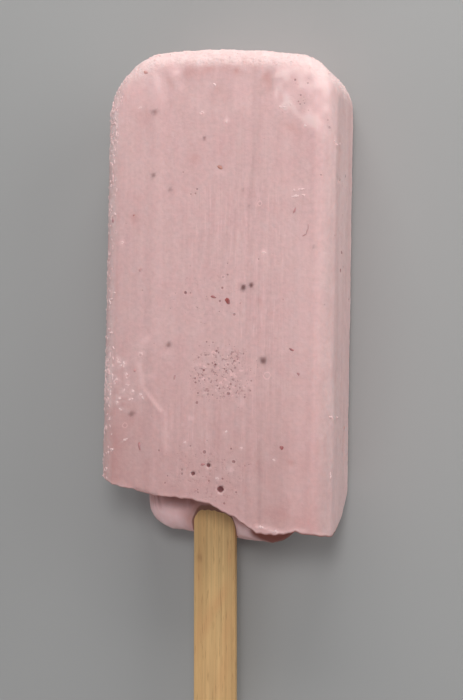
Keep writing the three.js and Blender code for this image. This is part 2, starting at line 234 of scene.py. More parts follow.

# Holes that bubbles left in the face: x, y, diameter, and darkness inside, which is juice and painted
# shade.
PITS = (
    # near the base
    (2.4, 4.8, 1.5, 0.85),
    (-0.5, 10.1, 0.9, 0.75),
    (-4.1, 8.1, 0.9, 0.7),
    (-1.5, 13.0, 0.75, 0.45),
    (5.4, 11.0, 0.75, 0.5),
    (4.8, 13.9, 0.45, 0.4),
    (-4.8, 14.3, 0.45, 0.3),
    (2.9, 7.1, 0.55, 0.35),
    (-0.3, 6.6, 0.5, 0.35),
    (-1.1, 5.9, 0.4, 0.3),
    (-6.7, 8.9, 0.5, 0.3),
    (-6.7, 8.0, 0.5, 0.3),
    (-6.4, 4.6, 0.6, 0.35),
    (-10.7, 5.8, 0.5, 0.3),
    (3.4, 1.6, 0.5, 0.45),
    (6.1, 4.2, 0.45, 0.35),
    (-2.8, 3.9, 0.4, 0.3),
    (-12.3, 13.1, 0.45, 0.3),
    # the porous patch
    (0.9, 35.8, 0.55, 0.55),
    (-3.3, 34.3, 0.5, 0.4),
    (0.7, 32.8, 0.45, 0.55),
    (0.0, 33.1, 0.45, 0.4),
    (3.6, 32.8, 0.5, 0.4),
    (-2.0, 31.5, 0.5, 0.5),
    (2.9, 31.8, 0.45, 0.5),
    (4.4, 31.6, 0.45, 0.5),
    (5.9, 34.0, 0.45, 0.35),
    (-4.0, 29.6, 0.5, 0.55),
    (-3.9, 28.7, 0.5, 0.55),
    (-1.8, 29.3, 0.45, 0.4),
    (-0.3, 28.8, 0.45, 0.35),
    (1.3, 28.0, 0.5, 0.4),
    (1.8, 27.4, 0.45, 0.5),
    (4.4, 28.4, 0.5, 0.4),
    (4.2, 27.3, 0.45, 0.4),
    (5.5, 28.0, 0.45, 0.3),
    (9.2, 29.2, 0.45, 0.35),
    (9.0, 27.0, 0.5, 0.4),
    (7.7, 25.5, 0.5, 0.35),
    (-0.9, 26.0, 0.6, 0.2),
    (-3.3, 26.3, 0.5, 0.4),
    (-3.5, 24.1, 0.7, 0.4),
    # the middle
    (-6.7, 49.1, 0.7, 0.6),
    (-5.5, 49.0, 0.45, 0.3),
    (2.0, 50.1, 0.55, 0.5),
    (1.5, 47.1, 0.55, 0.4),
    (4.9, 44.1, 0.6, 0.4),
    (3.2, 53.1, 0.45, 0.35),
    (-4.4, 72.7, 0.55, 0.35),
    (-5.9, 71.6, 0.45, 0.35),
    (-4.8, 71.7, 0.45, 0.35),
    (-7.8, 76.7, 0.4, 0.3),
    (10.4, 56.5, 0.4, 0.3),
    (24.4, 75.2, 0.4, 0.35),
    # the swollen patch near the tip
    (18.3, 96.7, 0.5, 0.45),
    (21.2, 95.8, 0.45, 0.25),
    (19.6, 93.2, 0.5, 0.35),
    (19.1, 91.8, 0.4, 0.35),
    (19.5, 91.2, 0.4, 0.35),
    (20.5, 91.4, 0.45, 0.4),
    (15.6, 90.3, 0.45, 0.4),
    (16.4, 90.3, 0.4, 0.4),
    (25.6, 87.6, 0.45, 0.35),
    (26.0, 85.9, 0.6, 0.3),
)

# Where tiny bubbles crowd: middle x and y, half width, half height, how many, diameters from and
# to, and how porous the skin is besides.
BUBBLE_PATCHES = (
    (2.3, 31.0, 7.8, 6.4, 110, 0.22, 0.42, 0.9),
    (-1.0, 8.0, 10.0, 7.5, 30, 0.22, 0.36, 0.3),
    (-1.0, 48.0, 9.0, 7.0, 18, 0.22, 0.34, 0.16),
    (20.5, 92.0, 5.0, 4.5, 10, 0.22, 0.34, 0.1),
    (0.0, 52.0, 24.0, 44.0, 20, 0.22, 0.34, 0.06),
)
TINY_FAINTEST, TINY_DARKEST = 0.12, 0.45

# How far out of an ellipse its bubbles reach, and the power of an even draw that spreads them.
CROWD_REACH, CROWD_SPREAD = 1.2, 0.7

# How unevenly the porous skin's ellipses end, and by what shares of their size they fade.
PORES_UNEVENNESS, PORES_FADE = 0.25, (0.6, 1.15)

# Bubbles on the sides and the back: how far the skin may turn to the front or to the tip there,
# how far from the base they begin, how many, and diameters from and to.
HIDDEN_TURN, HIDDEN_FROM = 0.3, 12.0
HIDDEN_BUBBLES, HIDDEN_BUBBLE_SIZES = 70, (0.4, 1.1)

# How pale the skin is round a hole, for how dark it is inside.
RING_PALENESS = 0.3

# Holes from this size on are hollows of the skin, with a low rim round them, and smaller ones are
# relief in its finish. Depths are shares of the diameter, and the rim's place is in radii.
HOLLOWED_FROM = 0.8
HOLE_DEPTH, SMALL_HOLE_DEPTH = 0.55, 0.25
HOLE_RIM, HOLE_RIM_AT, HOLE_RIM_WIDTH, HOLE_END = 0.02, 1.4, 0.35, 2.4

# How far from a hole the skin still carries its way and look, and the way where there is none.
HOLE_REACH, NO_HOLE = 0.8, 9.0

# How vertices gather round large holes and round seeds: reach, reach for each millimetre of
# diameter, and pull.
GATHER_AT_HOLES, GATHER_AT_SEEDS = (0.6, 1.3, 0.62), (0.8, 0.8, 0.35)

# Bubbles that broke and left a pale ring: x, y, diameter, darkness, and how pale the ring is.
RINGS = (
    (12.8, 30.4, 1.1, 0.04, 0.55),
    (10.5, 69.1, 0.7, 0.15, 0.60),
    (-17.3, 34.9, 0.7, 0.10, 0.40),
    (-20.7, 18.7, 0.8, 0.05, 0.40),
    (-24.1, 63.4, 0.5, 0.00, 0.80),
    (3.9, 26.3, 0.8, 0.30, 0.45),
    (2.2, 52.6, 0.6, 0.20, 0.50),
    (16.0, 90.4, 1.3, 0.00, 0.45),
    (21.9, 92.9, 0.9, 0.00, 0.35),
)

# Lines on the face: points, half width, height, and how pale.
LINES = (
    (((-17.9, 32.4), (-17.2, 30.3), (-16.8, 27.4), (-13.8, 24.0), (-11.2, 21.0), (-10.7, 12.6)),
     0.55, 0.11, 0.22),
    (((-15.9, 26.4), (-13.8, 24.0), (-12.2, 22.1)), 0.35, 0.05, 0.30),
    (((-14.6, 96.0), (-13.4, 39.7), (-16.0, 38.3)), 1.5, 0.05, 0.07),
    (((10.5, 94.4), (7.5, 67.9)), 0.6, -0.03, -0.06),
    (((11.2, 15.4), (11.6, -2.9)), 0.5, -0.04, -0.08),
    (((18.2, 4.5), (19.1, 2.3), (19.1, -0.8)), 0.4, 0.06, 0.12),
    (((11.0, -3.2), (12.8, -3.5), (14.1, -3.8), (16.0, -4.4), (17.6, -4.7)), 0.38, 0.08, 0.85),
    (((18.6, -4.1), (19.6, -3.6), (22.0, -3.7)), 0.4, 0.04, 0.35),
    (((20.9, 62.0), (21.4, -3.0)), 2.6, 0.0, 0.17),
    (((8.7, 31.8), (8.9, 26.5)), 0.4, 0.06, 0.12),
    # painted shade: the shaded underside of the base, drawn along the rim at the left
    (((-18.2, 4.2), (-16.7, 3.9), (-15.2, 3.4), (-12.8, 2.9)), 0.45, -0.05, -0.45),
)

# Soft clouds of colour in the face: x, y, half length, half width, turn in degrees, and how
# rosy they are, with pale ones below zero.
CLOUDS = (
    (-11.8, 98.2, 2.8, 0.8, 124, 0.65),
    (-9.7, 99.9, 1.3, 1.0, 0, -0.9),
    (-7.5, 99.6, 1.8, 1.0, 0, 0.3),
    (-2.3, 100.4, 1.4, 1.0, 0, 0.45),
    (1.6, 100.4, 1.2, 1.1, 0, 0.35),
    (4.4, 99.6, 0.7, 0.7, 0, 0.9),
    (6.0, 98.8, 1.6, 0.5, 0, 0.5),
    (0.9, 76.4, 1.7, 0.6, 0, -0.4),
    (-14.2, 97.2, 3.8, 1.0, 110, -0.5),
    (10.6, 99.6, 1.6, 1.0, 60, -0.45),
    (11.5, 97.8, 1.2, 1.0, 90, 0.5),
    (14.8, 98.2, 1.8, 0.6, 10, -0.9),
    (13.7, 94.9, 2.6, 0.6, 97, -0.6),
    (16.0, 90.9, 1.3, 0.9, 0, -0.8),
    (19.6, 88.0, 3.2, 0.7, 146, -0.5),
    (23.5, 85.4, 2.0, 0.7, 160, -0.35),
    (17.5, 86.0, 3.2, 0.8, 148, 0.3),
    (25.8, 86.4, 1.1, 0.8, 90, 0.7),
    (15.8, 95.6, 2.0, 1.1, 90, 0.45),
    (13.7, 93.7, 1.8, 1.0, 90, -0.4),
    (20.0, 91.8, 1.3, 1.1, 0, 0.35),
    (23.5, 94.0, 4.0, 3.0, 60, -0.2),
    (16.4, 92.6, 1.8, 1.2, 100, -0.35),
    (2.0, 88.3, 0.9, 0.4, 70, -0.5),
    (2.7, 88.4, 0.9, 0.4, 110, -0.4),
    (-16.0, 38.1, 1.4, 0.9, 40, -0.5),
    (-11.1, 35.2, 0.9, 0.7, 0, -0.35),
    (-14.6, 29.9, 1.0, 0.7, 0, -0.4),
    (11.4, 57.9, 0.9, 0.8, 0, -0.5),
    (10.6, 56.4, 1.3, 0.5, 0, -0.25),
    (-4.7, 20.5, 0.8, 0.5, 0, -0.45),
    (-6.7, 19.1, 0.4, 0.4, 0, -0.4),
    (7.0, 24.3, 1.2, 0.6, 90, -0.4),
    (4.9, 9.2, 1.2, 0.8, 0, -0.3),
    (18.6, 11.2, 0.9, 0.6, 150, 0.4),
    (-19.4, 66.3, 1.3, 1.0, 90, 0.35),
    (-5.1, 79.9, 1.5, 1.5, 0, 0.3),
    (10.7, 47.3, 1.2, 0.4, 130, 0.3),
    (17.0, -1.0, 6.0, 2.8, 0, 0.22),
    # rosier, and darker as painted shade: the lower left of the face
    (-25.0, 14.0, 14.0, 6.0, 90, 0.3),
    (20.8, 98.5, 3.0, 1.0, 165, -0.45),
    (22.5, 86.8, 2.5, 1.3, 130, -0.35),
)
CLOUD_RELIEF = 0.07

# Where streaks comb the face: x, y, half width, half length. They end before the tip, and they
# begin again a little down the sides.
COMBED = ((10.5, 44.0, 7.5, 44.0), (1.0, 64.0, 8.0, 14.0), (-4.0, 16.0, 9.0, 12.0))
COMBED_FADES, COMBED_SIDES, COMBED_DOWN = (84.0, 98.0), 1.4, (0.5, 4.0)

# Colour that changes slowly: spots and clouds near the tip, the pale patch and its paler rim, by
# the distance inside its edge, and the rosier and cloudier skin near the base.
TIP_SPOTTING, TIP_CLOUDING, TIP_CLOUDING_GROWS = 0.24, 0.42, (84.0, 97.0)
PATCH_PALENESS, PATCH_UNEVENNESS, PATCH_PALE_INSIDE = 0.55, 0.9, (0.5, 2.5)
PATCH_RIM_PALENESS, PATCH_RIM_INSIDE, PATCH_RIM_WIDTH = 0.4, 1.5, 1.0
BASE_ROSINESS, BASE_ROSY_FADES = 0.19, (0.0, 50.0)
BASE_CLOUDING, BASE_CLOUDING_FADES = 0.11, (12.0, 45.0)

# Painted shade: how much darker the skin is near the base, at the left, and where it turns into the
# right side.
BASE_PAINTED_SHADE, BASE_PAINTED_SHADE_FADES = 0.08, (0.0, 40.0)
LEFT_PAINTED_SHADE, LEFT_PAINTED_SHADE_ACROSS, LEFT_PAINTED_SHADE_FADES = 0.06, (-HALF_WIDTH, -8.0), (60.0, 95.0)
EDGE_PAINTED_SHADE, EDGE_PAINTED_SHADE_TURN, EDGE_PAINTED_SHADE_FADES = 0.17, (0.3, 0.9), (80.0, 98.0)

# Flakes of frost on the face: x, y, length, width, turn in degrees, how many crystals.
FLAKES = (
    # the patch at the lower left
    (-25.1, 31.0, 1.3, 0.6, 120, 6),
    (-22.8, 33.6, 1.2, 0.5, 120, 6),
    (-21.3, 32.7, 0.9, 0.5, 100, 4),
    (-22.1, 32.3, 0.7, 0.4, 60, 3),
    (-20.6, 30.1, 1.0, 0.6, 90, 5),
    (-23.2, 28.8, 1.2, 0.6, 45, 6),
    (-23.9, 29.8, 0.9, 0.5, 100, 4),
    (-24.8, 28.0, 0.8, 0.4, 0, 3),
    (-19.0, 26.4, 0.7, 0.5, 90, 3),
    (-19.4, 24.7, 0.7, 0.4, 0, 3),
    (-16.8, 25.4, 1.3, 0.5, 130, 6),
    (-22.7, 23.8, 1.0, 0.4, 100, 4),
    (-21.7, 22.3, 0.9, 0.4, 150, 3),
    (-20.3, 28.1, 1.0, 0.7, 0, 3),
    (-17.2, 35.2, 0.8, 0.3, 0, 3),
    (-24.6, 26.3, 1.1, 0.5, 70, 5),
    (-25.4, 24.2, 0.9, 0.5, 90, 4),
    (-26.0, 28.6, 0.9, 0.7, 90, 5),
    (-26.2, 33.0, 1.6, 0.4, 80, 6),
    (-24.2, 32.2, 0.7, 0.4, 90, 3),
    (-25.0, 35.0, 0.8, 0.4, 90, 3),
    (-21.2, 26.6, 0.8, 0.5, 30, 3),
    (-22.2, 25.0, 0.6, 0.5, 0, 3),
    (-20.9, 15.2, 2.0, 0.15, 33, 7),
    (-24.5, 20.2, 0.8, 0.4, 60, 3),
    (-25.8, 18.0, 1.0, 0.4, 90, 4),
    (-24.0, 13.0, 0.7, 0.4, 0, 3),
    # the torn lip
    (12.2, -3.4, 0.8, 0.2, -10, 3),
    (15.6, -4.2, 0.8, 0.2, -15, 3),
    # the upper left edge
    (-24.6, 88.2, 1.0, 0.5, 110, 5),
    (-25.2, 80.9, 1.2, 0.5, 95, 5),
    (-24.3, 84.5, 0.9, 0.5, 130, 4),
    (-25.7, 74.0, 1.1, 0.4, 90, 4),
    (-25.8, 70.0, 0.9, 0.4, 90, 3),
    (-24.0, 86.0, 1.5, 0.5, 120, 6),
    (-24.9, 83.1, 1.3, 0.6, 100, 7),
    (-25.6, 79.1, 0.7, 0.5, 90, 3),
    (-23.5, 93.3, 0.9, 0.6, 30, 3),
    (-18.8, 91.9, 0.7, 0.5, 60, 3),
    (-22.4, 60.7, 0.6, 0.5, 0, 3),
    # the tip
    (-0.7, 96.6, 1.1, 0.4, 150, 4),
    (-3.5, 90.3, 1.2, 0.4, 15, 4),
    (2.3, 87.9, 0.8, 0.4, 90, 3),
    (16.0, 90.9, 0.9, 0.5, 30, 4),
    (17.1, 91.4, 0.6, 0.4, 0, 2),
    (15.0, 90.7, 0.6, 0.4, 120, 3),
    (20.5, 86.3, 0.9, 0.6, 60, 5),
    (27.1, 82.8, 0.8, 0.6, 90, 4),
    # the right half
    (19.4, 72.1, 2.4, 0.5, 5, 9),
    (18.5, 70.6, 1.4, 0.5, 8, 8),
    (20.6, 70.8, 0.8, 0.4, 0, 3),
    (11.5, 58.1, 0.7, 0.5, 0, 2),
    (27.0, 21.3, 0.5, 0.4, 0, 3),
    (26.9, 8.6, 1.3, 0.3, 90, 5),
    (14.9, 11.7, 0.5, 0.4, 0, 2),
    # near the base
    (1.7, 7.2, 0.9, 0.5, 30, 4),
    (7.1, 14.0, 0.4, 0.3, 0, 2),
    (3.3, 17.5, 0.5, 0.4, 90, 2),
    (-6.1, 15.1, 0.4, 0.3, 0, 2),
)
# Crystals: sizes from and to, their shape in flakes and in the crust, and how unevenly they are
# turned. A pale halo lies round each flake, by shares of its length and width.
CRYSTAL_FROM, CRYSTAL_TO, CRYSTAL_TURNS = 0.28, 0.56, 0.5
FLAKE_CRYSTAL, CRUST_CRYSTAL = (1.5, 0.9, 0.6), (2.1, 1.0, 1.1)
FLAKE_HALO, HALO_LENGTH, HALO_WIDTH = 0.45, 0.8, 1.3

# The crust on the round left edge: where along the bar, how far it reaches, how thick it is.
CRUST = ((88.0, 11.0, 1.0), (70.0, 8.0, 0.7), (30.0, 11.0, 0.8), (10.0, 5.0, 0.5))
CRUST_ELSEWHERE, CRUST_CRYSTALS = 0.42, 320
CRUST_TURN, CRUST_UP, CRUST_ACROSS = (0.12, 0.5), (-0.1, 0.3), (-22.0, -18.0)
CRUST_COVER, CRUST_COVER_SPOTS = 0.9, 0.3

# How thickly frost lies, from 0 to 1. SPOTS and CLOUDS are how much noises change that. Frost on
# the tip grows with the turn to the tip, and a little way onto the face it is ragged.
TIP_FROST_TURN, TIP_FROST_GROWS, TIP_RAGGED_GROWS = (0.02, 0.62), (55.0, 75.0), (92.0, 101.0)
TIP_FROST_REACH, TIP_FROST_SPOTS, TIP_FROST_CLOUDS = 0.22, 0.16, 0.2

# Frost on the other round edges, in the speckled patch at the lower left, in loose patches on
# the sides and the back, and thinly and evenly on the two sides.
EDGE_FROST, EDGE_FROST_SPOTS = 0.245, 0.21
EDGE_FROST_TURN, EDGE_FROST_UP = (0.25, 0.6), (0.1, 0.4)
LOW_FROST, LOW_FROST_AT, LOW_FROST_SIZE = 0.35, (-22.0, 28.5), (4.5, 7.0)
LOOSE_FROST, LOOSE_FROST_SPOTS, LOOSE_FROST_GROWS = 0.3, 0.2, (0.1, 0.5)
SIDE_FROST, SIDE_FROST_TURN = 0.42, (0.2, 1.0)

# Fine grains of frost: how many, sizes from and to, the power of an even draw that makes large
# ones rare, and how they are stretched. Then the thickness of frost that bears none, the power by
# which they crowd in thicker frost, and how they thin out on the face and near the base's rim.
FROST_GRAINS, GRAIN_FROM, GRAIN_TO, GRAIN_RARITY = 3400, 0.16, 0.5, 2.5
GRAIN_STRETCH, GRAIN_FLATNESS = (0.6, 1.6), 0.7
THIN_FROST, GRAIN_CROWDING = 0.12, 1.3
FACE_THINNING, FACE_THINNING_TURN, RIM_THINNING_GROWS = 0.8, (0.55, 0.9), (1.0, 3.0)

# How deep grains and crystals are sunk, for their thickness, and how high their middles stay over
# the plane of the back, for their size.
FROST_SUNK, FROST_CLEARANCE = 0.2, 0.75

# Heights of the skin's relief, in millimetres: soft lumps, which are higher near the tip, broad
# swells, streaks and combed streaks along the mould, grain, frost, and the sides' unevenness.
LUMPS, TIP_LUMPS, TIP_LUMPS_GROW = 0.035, 0.09, (70.0, 100.0)
SWELLS, STREAKS, COMBING, GRAIN, FROST_ROUGHNESS = 0.05, 0.02, 0.025, 0.012, 0.10
SIDE_UNEVENNESS, SIDE_DOWN = 0.07, (0.5, 3.0)

# --- Noises, lumps and draws -------------------------------------------------------------------

# Each noise has the spacing of its lattice, along x, y and z where that differs, and its seed.
TEAR_NOISE = (1.1, 5)
SEED_NOISE = (0.8, 23)
END_SHADE_NOISE = (2.2, 25)
COARSE_FROST_NOISE, BROAD_FROST_NOISE, SPECKLE_NOISE = (3.0, 31), (11.0, 32), (1.1, 33)
TIP_SPOT_NOISE, TIP_CLOUD_NOISE = ((2.2, 3.0, 2.2), 34), ((6.0, 8.0, 6.0), 38)
PORE_NOISE, PATCH_NOISE, BASE_NOISE = (2.5, 35), (1.8, 36), ((1.9, 2.4, 1.9), 37)
STRIPE_NOISE, SIDE_CLOUD_NOISE = ((9.0, 11.0, 9.0), 39), ((9.0, 16.0, 1.8), 40)
LUMP_NOISE, SWELL_NOISE, GRAIN_NOISE = ((3.2, 4.5, 3.2), 41), (9.0, 42), (0.9, 44)
STREAK_NOISE, COMB_NOISE = ((0.9, 40.0, 0.9), 43), ((0.75, 22.0, 1.6), 47)
FINE_CRUST_NOISE, COARSE_CRUST_NOISE = (0.9, 45), (1.8, 46)
SIDE_NOISE = ((9.0, 7.0, 2.4), 48)
GROOVE_NOISE, FINE_GROOVE_NOISE = ((0.35, 25.0, 3.0), 71), ((0.15, 9.0, 3.0), 72)

# How lumps are made: steps along a side of the box that becomes a ball, unevenness, and the seed
# of their shapes. The noise that shapes them takes each ball so large, and so far from the next.
FRUIT_LUMPS, FROST_LUMPS = (5, 0.25, 51), (2, 0.4, 63)
LUMP_SCALE, LUMP_APART, LUMP_SHAPE_SIZE = 1.3, 7.7, 0.8

# From this x on, a unit normal is close to the x axis.
CLOSE_TO_X = 0.9

# Seeds of the random draws.
BUBBLE_DRAW, HIDDEN_BUBBLE_DRAW, SEED_DRAW, HIDDEN_SEED_DRAW = 11, 12, 21, 22
GRAIN_DRAW, GRAIN_PLACE_DRAW, FLAKE_DRAW, CRUST_DRAW, CRUST_PLACE_DRAW = 61, 62, 64, 65, 66

# Numbers that mix the bits of a place on a lattice, of its seed, and of what comes of both.
PLACE_MIXERS = np.array([73856093, 19349663, 83492791])
SEED_MIXER, FIRST_MIXER, SECOND_MIXER = 2654435761, 2246822519, 3266489917

# --- Numbers on arrays -----------------------------------------------------------------------


def lerp(start, end, share):
    return start + (end - start) * share


def smoothstep(x, low, high):
    """0 below low, 1 above high, and 3t^2 - 2t^3 between, where t is the share of the way."""
    t = np.clip((x - low) / (high - low), 0.0, 1.0)
    return t * t * (3.0 - 2.0 * t)


def fall(x, low, high):
    """What smoothstep leaves of 1: 1 below low, and 0 above high."""
    return 1.0 - smoothstep(x, low, high)


def bell(x, middle, width):
    """A bell curve: 1 in its middle, and 1/e at its width from there."""
    return np.exp(-(((x - middle) / width) ** 2))


def turned_bell(x, y, half_length, half_width, turn):
    """A bell curve along and across a direction that is turned by so many degrees."""
    cos, sin = math.cos(math.radians(turn)), math.sin(math.radians(turn))
    along = (x * cos + y * sin) / half_length
    across = (y * cos - x * sin) / half_width
    return np.exp(-(along**2) - across**2)


def lattice(cell, seed):
    """A number from -1 to 1 for each row of three whole numbers, by mixing their bits."""
    whole = 0xFFFFFFFF
    mixed = np.bitwise_xor.reduce(cell * PLACE_MIXERS, axis=1)
    mixed = (mixed ^ (seed * SEED_MIXER)) & whole
    mixed ^= mixed >> 15
    mixed = (mixed * FIRST_MIXER) & whole
    mixed ^= mixed >> 13
    mixed = (mixed * SECOND_MIXER) & whole
    mixed ^= mixed >> 16
    return mixed / (whole / 2.0) - 1.0


def noise(points, size, seed):
    """Smooth random values from -1 to 1: random numbers on a lattice with the given spacing,
    blended between its eight nearest points with weights 3t^2 - 2t^3. A size of three numbers
    stretches the lattice."""
    scaled = points / np.asarray(size, float)
    cell = np.floor(scaled).astype(np.int64)
    share = scaled - cell
    share = share * share * (3.0 - 2.0 * share)
    total = np.zeros(len(points))
    for corner in np.ndindex(2, 2, 2):
        weight = np.prod(np.where(corner, share, 1.0 - share), axis=1)
        total += weight * lattice(cell + np.array(corner), seed)
    return total


def line_distance(x, y, line):
    """Distance of each (x, y) from a line through the given points, in straight pieces: along
    each piece the share of the way is clipped to it, and the nearest piece counts."""
    nearest = np.full(x.shape, np.inf)
    for (ax, ay), (bx, by) in zip(line[:-1], line[1:]):
        dx, dy = bx - ax, by - ay
        share = np.clip(((x - ax) * dx + (y - ay) * dy) / (dx * dx + dy * dy), 0.0, 1.0)
        nearest = np.minimum(nearest, np.hypot(x - ax - share * dx, y - ay - share * dy))
    return nearest


# --- Surface of the bar ----------------------------------------------------------------------


def to_disc(a, b):
    """The factor that brings a quarter of a square onto a quarter of a disc of the same size:
    the larger of the two sides over their hypotenuse."""
    reach = np.hypot(a, b)
    return np.maximum(a, b) / np.where(reach > 0, reach, 1.0) + (reach == 0)


def tip_corner(x, y):
    """How far each point lies past the centre of its tip corner's round, across and along, and
    how far it is inside the outline of the face: that round's radius less its distance."""
    radius = np.where(x < 0, LEFT_TIP_RADIUS, RIGHT_TIP_RADIUS)
    across = np.maximum(np.abs(x) - (HALF_WIDTH - radius), 0.0)
    along = np.maximum(y - (BAR_LENGTH - radius), 0.0)
    return across, along, radius - np.hypot(across, along)


def inside_rectangle(a, b, half_a, half_b, radius):
    """How far (a, b) is inside a round-cornered rectangle about the origin."""
    across = np.abs(a) - (half_a - radius)
    along = np.abs(b) - (half_b - radius)
    in_corner = (across > 0) & (along > 0)
    return radius - np.where(in_corner, np.hypot(across, along), np.maximum(across, along))


def round_slab(x, y, z):
    """Points of a box brought onto the slab: the tip's corner squares become quarter discs, and
    then so does the square section along every edge between a face and a side."""
    across, along, _ = tip_corner(x, y)
    shrink = to_disc(across, along) - 1.0
    x = x + np.sign(x) * across * shrink
    y = y + along * shrink
    across, along, inside = tip_corner(x, y)
    reach = np.maximum(np.hypot(across, along), NEARLY_ZERO)
    sideways = np.maximum(EDGE_RADIUS - inside, 0.0)
    upward = np.maximum(EDGE_RADIUS - (HALF_DEPTH - np.abs(z - HALF_DEPTH)), 0.0)
    shrink = to_disc(sideways, upward) - 1.0
    x = x + np.sign(x) * across / reach * sideways * shrink
    y = y + along / reach * sideways * shrink
    z = z + np.sign(z - HALF_DEPTH) * upward * shrink
    return x, y, z


def crown_tip(x, y):
    """The tip reaches furthest near its middle: a parabola across, which fades with the sixth
    power of y."""
    across = (x - CROWN_MIDDLE) / HALF_WIDTH
    return y + CROWN * (1.0 - across**2) * np.clip(y / BAR_LENGTH, 0.0, 1.0) ** 6


def rim_level(x, behind):
    """Level of the base's rim: a line across the face in straight pieces with a ripple of two
    sines, slanting to a higher level at the back."""
    ragged = RIPPLE * sum(np.sin(turning * x + start) for turning, start in RIPPLE_WAVES)
    front = np.interp(x, RIM_X, RIM_HEIGHT) + ragged
    back = lerp(BACK_LEFT, BACK_RIGHT, (x + HALF_WIDTH) / BAR_WIDTH)
    return lerp(front, back, np.clip(behind / BAR_DEPTH, 0.0, 1.0) ** SLANT)


def mound_inside(x, z):
    """How far each point of the base is inside the mound's outline."""
    outline = (MOUND_HALF_WIDTH, MOUND_HALF_DEPTH, MOUND_CORNER)
    return inside_rectangle(x - MOUND_X, BAR_DEPTH - z - MOUND_DEPTH, *outline)


def notch_share(x, z):
    """1 in the notch in front of the stick and 0 away from it: across, a bell curve of the sixth
    power."""
    from_stick = (x - STICK_FROM_MIDDLE) / NOTCH_HALF_WIDTH
    return np.exp(-(from_stick**6)) * smoothstep(z, HALF_DEPTH, HALF_DEPTH + NOTCH_EDGE)


def mound_height(x, z, inside):
    """The end of the mound: flat, turned up all round by a quarter round of the distance inside
    its outline, and notched in front of the stick."""
    turned = np.clip(1.0 - inside / MOUND_ROUNDNESS, 0.0, 1.0)
    edge = MOUND_ROUNDNESS * (1.0 - np.sqrt(1.0 - turned**2))
    return MOUND_LEVEL + MOUND_TILT * x + edge + NOTCH * notch_share(x, z)


def base_height(x, z):
    """Height of the broken base over its plane: the rim's level, sunk behind a thin lip, and the
    mound where that hangs lower."""
    behind = BAR_DEPTH - z
    inside_bar = inside_rectangle(x, z - HALF_DEPTH, HALF_WIDTH, HALF_DEPTH, EDGE_RADIUS)
    ground = rim_level(x, behind) + HOLLOW * smoothstep(inside_bar, LIP, 2 * LIP)
    inside_mound = mound_inside(x, z)
    swollen = np.minimum(mound_height(x, z, inside_mound), ground)
    return lerp(ground, swollen, smoothstep(inside_mound, -MOUND_FOOT, MOUND_FOOT))


def break_base(x, y, z):
    """Slides the lower end along y until its end is the broken base, and less upwards, by the
    square of what is left of the way. A noise of the place on the base tears it finely, and that
    fades with the tenth power."""
    share = np.clip(1.0 - y / BASE_REACH, 0.0, 1.0) ** 2
    torn = TEAR * noise(np.stack([x, np.zeros_like(x), z], -1), *TEAR_NOISE)
    return y + (base_height(x, z) + torn * share**4) * share


def face_relief(x, y):
    """Height of the flutes, each a bell curve across, and of the swollen patch's disc."""
    from_middle = np.hypot(x - PATCH_X, y - PATCH_Y)
    relief = PATCH_HEIGHT * smoothstep(PATCH_RADIUS - from_middle, 0.0, PATCH_EDGE)
    for at, half_width, rise in FLUTES:
        relief += rise * bell(x, at, half_width)
    return relief


def crowd_at_mound(x, z):
    """Draws points of the base towards the mound's outline: each moves along the slope of its
    distance d by d times a bell curve of d, and the bar's own outline stays where it is."""
    step = SLOPE_STEP
    inside = mound_inside(x, z)
    slope_x = (mound_inside(x + step, z) - mound_inside(x - step, z)) / (2 * step)
    slope_z = (mound_inside(x, z + step) - mound_inside(x, z - step)) / (2 * step)
    inside_bar = inside_rectangle(x, z - HALF_DEPTH, HALF_WIDTH, HALF_DEPTH, EDGE_RADIUS)
    share = CROWDING * smoothstep(inside_bar, 0.0, LIP) * bell(inside, 0.0, CROWDING_REACH)
    return x - inside * share * slope_x, z - inside * share * slope_z


def box_grid(lines):
    """Points on the six sides of a box of grid lines, each once, and quads facing outwards. A
    point's number is made of its three line numbers, so the sides share their edges."""
    counts = [len(line) for line in lines]
    quads = []
    for axis in range(3):
        u, v = (axis + 1) % 3, (axis + 2) % 3
        at_u, at_v = np.meshgrid(
            np.arange(counts[u] - 1), np.arange(counts[v] - 1), indexing="ij"
        )
        for end in (0, counts[axis] - 1):
            corners = []
            for step_u, step_v in ((0, 0), (1, 0), (1, 1), (0, 1)):
                index = [None, None, None]
                index[axis] = np.full(at_u.shape, end)
                index[u] = at_u + step_u
                index[v] = at_v + step_v
                corners.append((index[0] * counts[1] + index[1]) * counts[2] + index[2])
            quad = np.stack(corners, -1).reshape(-1, 4)
            quads.append(quad if end else quad[:, ::-1])
    numbers, flat = np.unique(np.concatenate(quads), return_inverse=True)
    at = (numbers // (counts[1] * counts[2]), numbers // counts[2] % counts[1], numbers % counts[2])
    points = np.stack([line[index] for line, index in zip(lines, at)], -1)
    return points, flat.reshape(-1, 4)


def crowded_lines(start, end, steps, axis):
    """Grid lines whose density is 1 plus a gain times a bell curve round the crowded middle: the
    density is summed up, and even steps of the sum give the lines."""
    place = np.linspace(start, end, GRID_SAMPLES)
    density = 1.0 + GRID_GAIN[axis] * bell(place, GRID_MIDDLE[axis], GRID_REACH[axis])
    total = np.concatenate([[0.0], np.cumsum((density[1:] + density[:-1]) / 2)])
    return np.interp(np.linspace(0.0, total[-1], steps + 1), total, place)


